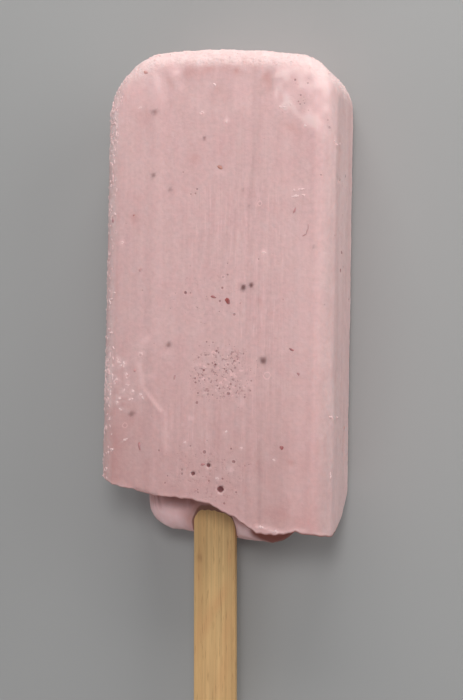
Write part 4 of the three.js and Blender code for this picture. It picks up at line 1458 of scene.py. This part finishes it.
# Juice, and painted shade inside bubble holes and pinholes.
JUICE_AND_HOLE_SHADE = (0.24, 0.07, 0.075, 1.0)
# The broken base: moist, and painted lighter for the light its lower faces catch from below.
WET_BASE_AND_PAINTED_LIGHT = (0.90, 0.58, 0.58, 1.0)
ICY_BREAK = (0.99, 0.68, 0.70, 1.0)
PIP = (0.12, 0.025, 0.025, 1.0)
# Painted shade in the broken base's hollow, under the rim and the torn lip.
PAINTED_HOLLOW_SHADE = (0.27, 0.085, 0.066, 1.0)
# Painted shade along the stick, where it enters the broken base.
STICK_CONTACT_SHADE = (0.22, 0.09, 0.05, 1.0)

# Colours of the fruit, from orange-brown over red to plum, of the wood, and of the floor.
FRUIT_BROWN = (0.50, 0.20, 0.11, 1.0)
FRUIT_RED = (0.36, 0.055, 0.055, 1.0)
FRUIT_PLUM = (0.085, 0.025, 0.035, 1.0)
BIRCH = (0.735, 0.495, 0.235, 1.0)
BIRCH_LATE = (0.62, 0.37, 0.16, 1.0)
BIRCH_WARM = (0.66, 0.33, 0.15, 1.0)
BIRCH_DARK = (0.36, 0.19, 0.08, 1.0)
FLOOR_DARK, FLOOR_LIGHT = (0.37, 0.37, 0.37, 1.0), (0.40, 0.40, 0.40, 1.0)

# The noise under all mottling, and the middle part of its range that is spread out.
MOTTLE_NOISE, MOTTLE_RANGE = {"Scale": 0.5, "Detail": 3.0, "Roughness": 0.55}, (0.3, 0.7)

# Mottling of the cream: the size of its soft spots in millimetres, along each axis if it has
# three, and the values it runs from and to. First its colours, then its finish and relief.
ROSE_CLOUDS = ((7.0, 9.0, 7.0), 0.15, 0.75)
CREAM_CLOUDS = ((3.0, 5.0, 3.0), 0.0, 0.25)
CREAM_SPOTS = ((1.1, 1.7, 1.1), 0.0, 0.4)
MOULD_LINES = ((0.9, 45.0, 2.0), 0.97, 1.03)
CREAM_GRAIN = (0.5, 0.95, 1.05)
COMB_STREAKS = ((0.45, 14.0, 1.6), -1.0, 1.0)
ICY_SPOTS = (1.5, -0.1, 0.75)
FROST_SPOTS = (0.7, 0.55, 1.1)
CREAM_ROUGHNESS = (2.2, 0.42, 0.56)
GRAIN_HEIGHT = (0.5, 0.0, 0.03)
MOULD_LINE_HEIGHT = ((0.8, 30.0, 2.0), 0.0, 0.03)
FROST_HEIGHT = (0.35, 0.0, 0.12)

# Mottling of the frost grains, the fruit, the wood and the floor, in the same way.
ICE_PALENESS, ICE_ROUGHNESS, ICE_HEIGHT = (1.5, 0.0, 0.8), (0.6, 0.35, 0.55), (0.2, 0.0, 0.03)
FRUIT_VEILING, FRUIT_DARKENING = (0.6, -0.1, 0.25), (0.9, -0.5, 0.65)
FRUIT_ROUGHNESS, FRUIT_HEIGHT = (0.5, 0.35, 0.6), (0.3, 0.0, 0.08)
WOOD_BANDS = ((1.6, 90.0, 3.0), 0.0, 0.9)
WOOD_LINES = ((0.34, 26.0, 1.5), 0.82, 1.14)
WOOD_FIGURE = ((4.0, 7.0, 4.0), 0.93, 1.06)
WOOD_FLECKS = ((0.16, 2.2, 0.8), 0.0, 1.0)
WOOD_ROUGHNESS = ((0.4, 15.0, 1.0), 0.58, 0.72)
WOOD_HEIGHT = ((0.22, 20.0, 1.0), 0.0, 0.05)
FLOOR_SPOTS, FLOOR_ROUGHNESS = (180.0, 0.0, 1.0), (60.0, 0.78, 0.86)

# Combed streaks in colour and height, how much rougher frost makes the finish, and how strongly
# each finish shows its relief.
STREAK_CONTRAST, STREAK_HEIGHT, FROST_ROUGHENING = 0.045, 0.02, 0.2
CREAM_BUMP, ICE_BUMP, FRUIT_BUMP, WOOD_BUMP = 0.8, 0.5, 0.7, 0.8

# Pores: their size, how many show where the skin is porous, how pale their walls are, how deep
# they are, and of which values of the noise the pores and the walls are made. Scratches are such
# walls where the skin is combed.
PORE_SIZE, PORE_SHARE, WALL_PALENESS, PORE_DEPTH = 0.42, 0.5, 1.7, 0.3
PORE_VALUES, WALL_VALUES = (0.72, 0.92), (0.32, 0.12)
SCRATCH_SIZE, SCRATCH_SHARE = (0.35, 3.5, 1.5), 0.3

# Bubble holes, in their radii: how ragged their outline is, where it is dark inside them, and
# where the pale ring round them begins and ends.
HOLE_OUTLINE = (0.4, 0.82, 1.18)
HOLE_DARK, RING_BEGINS, RING_ENDS = (1.15, 0.75), (0.95, 1.25), (1.85, 1.4)

# Painted shade where the stick enters the cream: how strong it is, and how far from the wood it fades.
STICK_CONTACT_SHADE_STRENGTH, STICK_CONTACT_SHADE_FADES = 0.8, (0.55, 0.15)

# From what paleness to what paleness the cream turns to its palest colour, at what tint fruit is
# red, by what tint and under what veil it is dark in spots, and how the wood's flecks stand out.
PALEST_GROWS = (0.5, 1.3)
RED_AT, DARK_BY_TINT, DARK_BY_VEIL = 0.5, (0.15, 0.45), (0.6, 0.3)
FLECK_VALUES, FLECK_STRENGTH = (0.72, 0.95), 0.45

# Values of the shaders' own sockets.
CREAM_SHADER = {
    "Subsurface Weight": 0.35,
    "Subsurface Scale": 0.003,
    "Subsurface Radius": (1.0, 0.55, 0.45),
    "Specular IOR Level": 0.35,
    "IOR": 1.34,
}
ICE_SHADER = {"Specular IOR Level": 0.35}
FRUIT_SHADER = {"Subsurface Weight": 0.2, "Subsurface Scale": 0.0006, "Coat Weight": 0.15}
WOOD_SHADER = {"Specular IOR Level": 0.3}
FLOOR_SHADER = {"Specular IOR Level": 0.2}


def plug(tree, socket, value):
    """Links a socket to another one, or gives it a value."""
    if isinstance(value, bpy.types.NodeSocket):
        tree.links.new(value, socket)
    else:
        socket.default_value = value


def node(tree, kind, inputs=None, **settings):
    """A node with its settings and its inputs, which are found by name or by number."""
    made = tree.nodes.new(kind)
    for name, value in settings.items():
        setattr(made, name, value)
    for name, value in (inputs or {}).items():
        plug(tree, made.inputs[name], value)
    return made


def mix_color(tree, factor, low, high, blend_type="MIX"):
    """One colour over another by a factor."""
    settings = {"data_type": "RGBA", "blend_type": blend_type}
    return node(tree, "ShaderNodeMix", {0: factor, 6: low, 7: high}, **settings).outputs[2]


def shade_by(tree, color, value):
    """A colour times a number that changes over the surface."""
    return mix_color(tree, 1.0, color, value, "MULTIPLY")


def arithmetic(tree, operation, first, second, clamped=False):
    """Two numbers added, multiplied or otherwise joined."""
    settings = {"operation": operation, "use_clamp": clamped}
    return node(tree, "ShaderNodeMath", {0: first, 1: second}, **settings).outputs[0]


def vector_math(tree, operation, first, second=(0.0, 0.0, 0.0)):
    """Two vectors joined by an operation."""
    return node(tree, "ShaderNodeVectorMath", {0: first, 1: second}, operation=operation)


def scale_and_add(tree, value, factor, added):
    """A number times a factor, and another number added."""
    inputs = {0: value, 1: factor, 2: added}
    return node(tree, "ShaderNodeMath", inputs, operation="MULTIPLY_ADD").outputs[0]


def fade(tree, value, none, full):
    """0 where the value is at none and 1 where it is at full, with a soft start and end."""
    inputs = {"Value": value, "From Min": none, "From Max": full}
    kind = {"interpolation_type": "SMOOTHSTEP"}
    return node(tree, "ShaderNodeMapRange", inputs, **kind).outputs[0]


def bumped(tree, height, strength):
    """A normal bent by a height in millimetres."""
    inputs = {"Height": height, "Strength": strength, "Distance": MM}
    return node(tree, "ShaderNodeBump", inputs).outputs[0]


def attribute(tree, name, output="Fac"):
    return node(tree, "ShaderNodeAttribute", attribute_name=name).outputs[output]


def place_in_mm(tree):
    """The object's own coordinates, in millimetres."""
    place = node(tree, "ShaderNodeTexCoord").outputs["Object"]
    return node(tree, "ShaderNodeMapping", {"Vector": place, "Scale": (1.0 / MM,) * 3}).outputs[0]


def new_material(name, **shader_values):
    """A material with one Principled shader, its constant sockets set, and its output."""
    material = bpy.data.materials.new(name)
    material.use_nodes = True
    tree = material.node_tree
    tree.nodes.clear()
    shader = node(tree, "ShaderNodeBsdfPrincipled", shader_values)
    node(tree, "ShaderNodeOutputMaterial", {"Surface": shader.outputs["BSDF"]})
    return material, tree, shader


def new_group(name, inputs, outputs):
    """A shader node group with its sockets: the tree, and its input and output nodes."""
    tree = bpy.data.node_groups.new(name, "ShaderNodeTree")
    for socket, kind in inputs:
        tree.interface.new_socket(name=socket, in_out="INPUT", socket_type=kind)
    for socket, kind in outputs:
        tree.interface.new_socket(name=socket, in_out="OUTPUT", socket_type=kind)
    return tree, node(tree, "NodeGroupInput"), node(tree, "NodeGroupOutput")


def mottle_group():
    """Soft random spots: a noise whose spots have the given size along each axis, spread over
    the range from Low to High."""
    tree, given, result = new_group(
        "mottle",
        (
            ("Place", "NodeSocketVector"),
            ("Size", "NodeSocketVector"),
            ("Low", "NodeSocketFloat"),
            ("High", "NodeSocketFloat"),
        ),
        (("Value", "NodeSocketFloat"),),
    )
    scaled = vector_math(tree, "DIVIDE", given.outputs["Place"], given.outputs["Size"])
    spots = node(tree, "ShaderNodeTexNoise", {"Vector": scaled.outputs[0], **MOTTLE_NOISE})
    limits = {
        "Value": spots.outputs[0],
        "From Min": MOTTLE_RANGE[0],
        "From Max": MOTTLE_RANGE[1],
        "To Min": given.outputs["Low"],
        "To Max": given.outputs["High"],
    }
    spread = node(tree, "ShaderNodeMapRange", limits)
    plug(tree, result.inputs["Value"], spread.outputs[0])
    return tree


MOTTLE = mottle_group()


def mottle(tree, place, size, low, high):
    """Soft random spots of the given size in millimetres, along each axis if it has three."""
    sizes = size if isinstance(size, tuple) else (size,) * 3
    inputs = {"Place": place, "Size": sizes, "Low": low, "High": high}
    made = tree.nodes.new("ShaderNodeGroup")
    made.node_tree = MOTTLE
    for name, value in inputs.items():
        plug(tree, made.inputs[name], value)
    return made.outputs["Value"]


def shown_between(tree, value, limits):
    """0 where the value is at the first limit, 1 where it is at the second, and even between."""
    inputs = {"Value": value, "From Min": limits[0], "From Max": limits[1]}
    return node(tree, "ShaderNodeMapRange", inputs).outputs[0]


def pores(tree, place, size, mask):
    """Pinholes and the pale walls between them: the peaks and the low places of a fine noise,
    where the mask lets them be."""
    spots = mottle(tree, place, size, 0.0, 1.0)
    pore = arithmetic(tree, "MULTIPLY", shown_between(tree, spots, PORE_VALUES), mask)
    wall = arithmetic(tree, "MULTIPLY", shown_between(tree, spots, WALL_VALUES), mask)
    return pore, wall


def holes(tree, place):
    """What the bubble holes do to the skin: how dark it is in them, with juice and painted shade, how
    pale round them, and how deep they are. All follow from the way to the nearest one, in its radii."""
    way = vector_math(tree, "LENGTH", attribute(tree, "hole_way", "Vector")).outputs["Value"]
    out = arithmetic(tree, "MULTIPLY", way, mottle(tree, place, *HOLE_OUTLINE))
    look = node(tree, "ShaderNodeSeparateXYZ", {0: attribute(tree, "hole_look", "Vector")})
    inside = fade(tree, out, *HOLE_DARK)
    begun, ended = fade(tree, out, *RING_BEGINS), fade(tree, out, *RING_ENDS)
    round_it = arithmetic(tree, "MULTIPLY", begun, ended)
    return (
        arithmetic(tree, "MULTIPLY", inside, look.outputs[0]),
        arithmetic(tree, "MULTIPLY", round_it, look.outputs[1]),
        arithmetic(tree, "MULTIPLY", inside, look.outputs[2]),
    )


def beside_stick(tree, place):
    """1 close to the stick and 0 a little away from it: the distance from the box that the
    stick's section is all along y."""
    middle = to_row(np.array([STICK_FROM_MIDDLE, 0.0, HALF_DEPTH])) / MM
    half_size = (STICK_WIDTH / 2, BAR_LENGTH * 2, STICK_THICKNESS / 2)
    away = vector_math(tree, "SUBTRACT", place, tuple(middle)).outputs[0]
    away = vector_math(tree, "ABSOLUTE", away).outputs[0]
    away = vector_math(tree, "SUBTRACT", away, half_size).outputs[0]
    away = vector_math(tree, "MAXIMUM", away).outputs[0]
    return fade(tree, vector_math(tree, "LENGTH", away).outputs["Value"], *STICK_CONTACT_SHADE_FADES)


def cream_color(tree, place, streaks):
    """Pink with rosier and creamier clouds, lines and combed streaks along the mould, and a fine
    grain."""
    color = mix_color(tree, mottle(tree, place, *ROSE_CLOUDS), PINK, ROSE)
    color = mix_color(tree, mottle(tree, place, *CREAM_CLOUDS), color, CREAM)
    color = mix_color(tree, mottle(tree, place, *CREAM_SPOTS), color, CREAM)
    color = shade_by(tree, color, mottle(tree, place, *MOULD_LINES))
    color = shade_by(tree, color, mottle(tree, place, *CREAM_GRAIN))
    return shade_by(tree, color, scale_and_add(tree, streaks, STREAK_CONTRAST, 1.0))


def porous_color(tree, place, combed, color):
    """Fine pores with pale walls, and pale scratches where the skin is combed. Also gives the
    pores themselves."""
    porous = arithmetic(tree, "MULTIPLY", attribute(tree, "porous"), PORE_SHARE)
    pore, wall = pores(tree, place, PORE_SIZE, porous)
    wall = arithmetic(tree, "MULTIPLY", wall, WALL_PALENESS, clamped=True)
    color = mix_color(tree, wall, color, PALE)
    # Juice and painted shade in the pinholes.
    color = mix_color(tree, pore, color, JUICE_AND_HOLE_SHADE)
    scratched = arithmetic(tree, "MULTIPLY", combed, SCRATCH_SHARE)
    scratch = pores(tree, place, SCRATCH_SIZE, scratched)[1]
    return mix_color(tree, scratch, color, PALE), pore


def broken_color(tree, place, color):
    """The broken base: moist and painted lighter, with icy spots, painted shade in its hollow, and
    painted shade along the stick.
    """
    on_base = attribute(tree, "on_base")
    # Moist, and painted lighter as if lit from below.
    color = mix_color(tree, on_base, color, WET_BASE_AND_PAINTED_LIGHT)
    icy = arithmetic(tree, "MULTIPLY", on_base, mottle(tree, place, *ICY_SPOTS), clamped=True)
    color = mix_color(tree, icy, color, ICY_BREAK)
    # Painted shade in the base's hollow.
    color = mix_color(tree, attribute(tree, "hollow"), color, PAINTED_HOLLOW_SHADE)
    # Painted shade along the stick.
    contact_shade = arithmetic(tree, "MULTIPLY", beside_stick(tree, place), on_base)
    contact_shade = arithmetic(tree, "MULTIPLY", contact_shade, STICK_CONTACT_SHADE_STRENGTH)
    return mix_color(tree, contact_shade, color, STICK_CONTACT_SHADE)


def paled_color(tree, color):
    """Paler where the mask of paleness is above zero, and darker where it is below."""
    pale = attribute(tree, "pale")
    color = mix_color(tree, arithmetic(tree, "MAXIMUM", pale, 0.0), color, PALE)
    color = mix_color(tree, fade(tree, pale, *PALEST_GROWS), color, PALEST)
    # Below zero the paleness is mostly painted shade: towards the base, at the left, on the round
    # right edge, and under the rim at the left.
    darker = arithmetic(tree, "MINIMUM", pale, 0.0)
    return shade_by(tree, color, arithmetic(tree, "ADD", darker, 1.0))


def cream_height(tree, place, frost, streaks, pore, depth):
    """Fine relief of the skin in millimetres: a grain, lines and streaks along the mould, pores,
    bubble holes, and frost."""
    height = mottle(tree, place, *GRAIN_HEIGHT)
    height = arithmetic(tree, "ADD", height, mottle(tree, place, *MOULD_LINE_HEIGHT))
    height = arithmetic(tree, "ADD", height, arithmetic(tree, "MULTIPLY", streaks, STREAK_HEIGHT))
    height = arithmetic(tree, "SUBTRACT", height, arithmetic(tree, "MULTIPLY", pore, PORE_DEPTH))
    height = arithmetic(tree, "SUBTRACT", height, depth)
    crust = arithmetic(tree, "MULTIPLY", frost, mottle(tree, place, *FROST_HEIGHT))
    return arithmetic(tree, "ADD", height, crust)


def ice_cream_material():
    """Frozen fruit cream: pink and clouded, with fine pores, rosier or darker where fruit and
    seeds show through, broken open at its base, and whitened where frost lies."""
    material, tree, shader = new_material("frozen_fruit_cream", **CREAM_SHADER)
    place = place_in_mm(tree)
    frost = attribute(tree, "frost")
    combed = attribute(tree, "combed")
    streaks = arithmetic(tree, "MULTIPLY", mottle(tree, place, *COMB_STREAKS), combed)
    color = cream_color(tree, place, streaks)
    color, pore = porous_color(tree, place, combed, color)
    color = mix_color(tree, attribute(tree, "rosy"), color, BLUSH)
    color = mix_color(tree, attribute(tree, "seed"), color, SEED_SHADE)
    color = broken_color(tree, place, color)
    color = paled_color(tree, color)
    dark, ring, depth = holes(tree, place)
    color = mix_color(tree, ring, color, PALE)
    # Juice and painted shade in the bubble holes.
    color = mix_color(tree, dark, color, JUICE_AND_HOLE_SHADE)
    thick = arithmetic(tree, "MULTIPLY", frost, mottle(tree, place, *FROST_SPOTS), clamped=True)
    color = mix_color(tree, thick, color, FROST)
    plug(tree, shader.inputs["Base Color"], color)
    rough = mottle(tree, place, *CREAM_ROUGHNESS)
    frosted = arithmetic(tree, "MULTIPLY", frost, FROST_ROUGHENING)
    plug(tree, shader.inputs["Roughness"], arithmetic(tree, "ADD", rough, frosted))
    height = cream_height(tree, place, frost, streaks, pore, depth)
    plug(tree, shader.inputs["Normal"], bumped(tree, height, CREAM_BUMP))
    return material


def frost_material():
    """Grains of ice: whitish pink and a little glossy."""
    material, tree, shader = new_material("frost", **ICE_SHADER)
    place = place_in_mm(tree)
    color = mix_color(tree, mottle(tree, place, *ICE_PALENESS), ICE, PALE)
    plug(tree, shader.inputs["Base Color"], color)
    plug(tree, shader.inputs["Roughness"], mottle(tree, place, *ICE_ROUGHNESS))
    height = mottle(tree, place, *ICE_HEIGHT)
    plug(tree, shader.inputs["Normal"], bumped(tree, height, ICE_BUMP))
    return material


def fruit_material():
    """Bits of fruit and skin, coloured by their tint, dark in spots where that is red or plum,
    and veiled unevenly by cream."""
    material, tree, shader = new_material("fruit_bits", **FRUIT_SHADER)
    place = place_in_mm(tree)
    tint, veil = attribute(tree, "tint"), attribute(tree, "veil")
    ramp = node(tree, "ShaderNodeValToRGB", {"Fac": tint})
    stops = ramp.color_ramp.elements
    stops[0].position, stops[0].color = 0.0, FRUIT_BROWN
    stops[1].position, stops[1].color = 1.0, FRUIT_PLUM
    stops.new(RED_AT).color = FRUIT_RED
    dark = mottle(tree, place, *FRUIT_DARKENING)
    dark = arithmetic(tree, "MULTIPLY", fade(tree, tint, *DARK_BY_TINT), dark)
    dark = arithmetic(tree, "MULTIPLY", fade(tree, veil, *DARK_BY_VEIL), dark)
    color = mix_color(tree, arithmetic(tree, "MAXIMUM", dark, 0.0), ramp.outputs[0], PIP)
    veiled = arithmetic(tree, "ADD", veil, mottle(tree, place, *FRUIT_VEILING), clamped=True)
    color = mix_color(tree, veiled, color, ROSE)
    plug(tree, shader.inputs["Base Color"], color)
    plug(tree, shader.inputs["Roughness"], mottle(tree, place, *FRUIT_ROUGHNESS))
    height = mottle(tree, place, *FRUIT_HEIGHT)
    plug(tree, shader.inputs["Normal"], bumped(tree, height, FRUIT_BUMP))
    return material


def wood_material():
    """Bare birch: wide bands and fine lines along the grain, short dark flecks, and a faint
    figure across it. It reads the stick's own coordinates, in millimetres."""
    material, tree, shader = new_material("birch", **WOOD_SHADER)
    place = attribute(tree, "grain", "Vector")
    color = mix_color(tree, mottle(tree, place, *WOOD_BANDS), BIRCH, BIRCH_LATE)
    color = shade_by(tree, color, mottle(tree, place, *WOOD_LINES))
    color = shade_by(tree, color, mottle(tree, place, *WOOD_FIGURE))
    color = mix_color(tree, attribute(tree, "warm"), color, BIRCH_WARM)
    # Moisture and painted shade near the bar, stronger at the right edge, and the knot.
    color = mix_color(tree, attribute(tree, "damp_shade_and_knot"), color, BIRCH_DARK)
    flecks = shown_between(tree, mottle(tree, place, *WOOD_FLECKS), FLECK_VALUES)
    strength = arithmetic(tree, "MULTIPLY", flecks, FLECK_STRENGTH)
    color = mix_color(tree, strength, color, BIRCH_DARK)
    plug(tree, shader.inputs["Base Color"], color)
    plug(tree, shader.inputs["Roughness"], mottle(tree, place, *WOOD_ROUGHNESS))
    height = mottle(tree, place, *WOOD_HEIGHT)
    plug(tree, shader.inputs["Normal"], bumped(tree, height, WOOD_BUMP))
    return material


def floor_material():
    """A matt pale floor with the faintest unevenness."""
    material, tree, shader = new_material("pale_floor", **FLOOR_SHADER)
    place = place_in_mm(tree)
    color = mix_color(tree, mottle(tree, place, *FLOOR_SPOTS), FLOOR_DARK, FLOOR_LIGHT)
    plug(tree, shader.inputs["Base Color"], color)
    plug(tree, shader.inputs["Roughness"], mottle(tree, place, *FLOOR_ROUGHNESS))
    return material


# --- Floor, lights and camera ----------------------------------------------------------------

# Where the camera stands, off the face's normal, and what it looks at, in millimetres. Its lens
# shows each millimetre there as so many pixels of a picture that is so many pixels high.
VIEW_FROM_RIGHT = math.radians(16.5)
VIEW_FROM_BELOW = math.radians(3.0)
VIEW_DISTANCE = 340.0
VIEW_TARGET = (4.46, 36.09, BAR_DEPTH)
PICTURE_HEIGHT, PIXELS_PER_MM = 700, 4.444
SENSOR, CLIP_START = 36.0, 0.01

FLOOR_SIZE = 6.0

# Soft lights: name, direction from the bar, distance and size in metres, power and colour. Each
# looks at a point in the middle of the pop.
LIGHTS = (
    ("window", (0.22, 0.22, 0.95), 0.55, 0.15, 0.92, (1.0, 0.99, 0.985)),
    ("front", (-0.05, -0.80, 0.60), 0.6, 0.4, 0.60, (1.0, 0.99, 0.985)),
    ("ceiling", (0.05, 0.94, 0.34), 0.45, 0.35, 1.6, (1.0, 0.985, 0.96)),
    ("side", (0.90, 0.36, 0.34), 0.48, 0.35, 0.77, (0.98, 1.0, 0.97)),
    ("left", (-0.99, 0.1, 0.06), 0.6, 0.3, 0.5, (1.0, 0.98, 0.97)),
)
LIT_POINT = (0.0, 0.02, HALF_DEPTH * MM)
WORLD_COLOR, WORLD_STRENGTH = (0.96, 0.98, 1.0, 1.0), 0.18


def make_floor():
    bpy.ops.mesh.primitive_plane_add(size=FLOOR_SIZE)
    floor = bpy.context.object
    floor.name = "floor"
    floor.data.materials.append(floor_material())


def turned_to(eye, target, up):
    """A rotation whose -Z points from eye to target, with up kept upward."""
    back = (eye - target).normalized()
    right = up.cross(back).normalized()
    return Matrix((right, back.cross(right), back)).transposed().to_quaternion()


def make_camera():
    """The camera stands off the face's normal by two small angles, rolled with the stick."""
    lean = Matrix.Rotation(STICK_LEAN, 3, "Z")
    direction = lean @ Vector((
        math.sin(VIEW_FROM_RIGHT) * math.cos(VIEW_FROM_BELOW),
        -math.sin(VIEW_FROM_BELOW),
        math.cos(VIEW_FROM_RIGHT) * math.cos(VIEW_FROM_BELOW),
    ))
    target = Vector(to_row(np.array(VIEW_TARGET)))
    data = bpy.data.cameras.new("camera")
    data.sensor_width = SENSOR
    data.lens = PIXELS_PER_MM * VIEW_DISTANCE * SENSOR / PICTURE_HEIGHT
    data.clip_start = CLIP_START
    camera = bpy.data.objects.new("camera", data)
    bpy.context.scene.collection.objects.link(camera)
    camera.location = target + direction * VIEW_DISTANCE * MM
    camera.rotation_mode = "QUATERNION"
    camera.rotation_quaternion = turned_to(camera.location, target, lean @ Vector((0.0, 1.0, 0.0)))
    bpy.context.scene.camera = camera


def make_light(name, direction, distance, size, power, color):
    """A square soft light in a direction from the lit point, which it looks at."""
    middle = Vector(LIT_POINT)
    data = bpy.data.lights.new(name, "AREA")
    data.shape = "SQUARE"
    data.size = size
    data.energy = power
    data.color = color
    light = bpy.data.objects.new(name, data)
    bpy.context.scene.collection.objects.link(light)
    light.location = middle + Vector(direction).normalized() * distance
    light.rotation_mode = "QUATERNION"
    light.rotation_quaternion = turned_to(light.location, middle, Vector((0.0, 0.0, 1.0)))


def make_lights():
    for light in LIGHTS:
        make_light(*light)
    world = bpy.data.worlds.new("studio")
    bpy.context.scene.world = world
    world.use_nodes = True
    background = world.node_tree.nodes["Background"]
    background.inputs["Color"].default_value = WORLD_COLOR
    background.inputs["Strength"].default_value = WORLD_STRENGTH


# --- The pop ---------------------------------------------------------------------------------

make_camera()
make_floor()
make_lights()

skin, quads, normals, area, masks = bar_surface()
bar = make_piece("ice_cream_bar", skin, quads, ice_cream_material(), **masks)
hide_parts("ice_cream")

points, quads, tint, veil = fruit_lumps(skin)
fruit = make_piece("fruit_bits", points, quads, fruit_material(), tint=tint, veil=veil)

points, quads = frost_lumps(skin, normals, area, masks["frost"])
frost = make_piece("frost_grains", points, quads, frost_material(), smooth=False)

points, quads = stick_surface()
warm, damp_shade_and_knot = wood_marks(points)
wood = {"grain": points, "warm": warm, "damp_shade_and_knot": damp_shade_and_knot}
stick = make_piece("wooden_stick", place_stick(points), quads, wood_material(), **wood)
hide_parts("stick")

scene = bpy.context.scene
scene.view_settings.view_transform = "Standard"
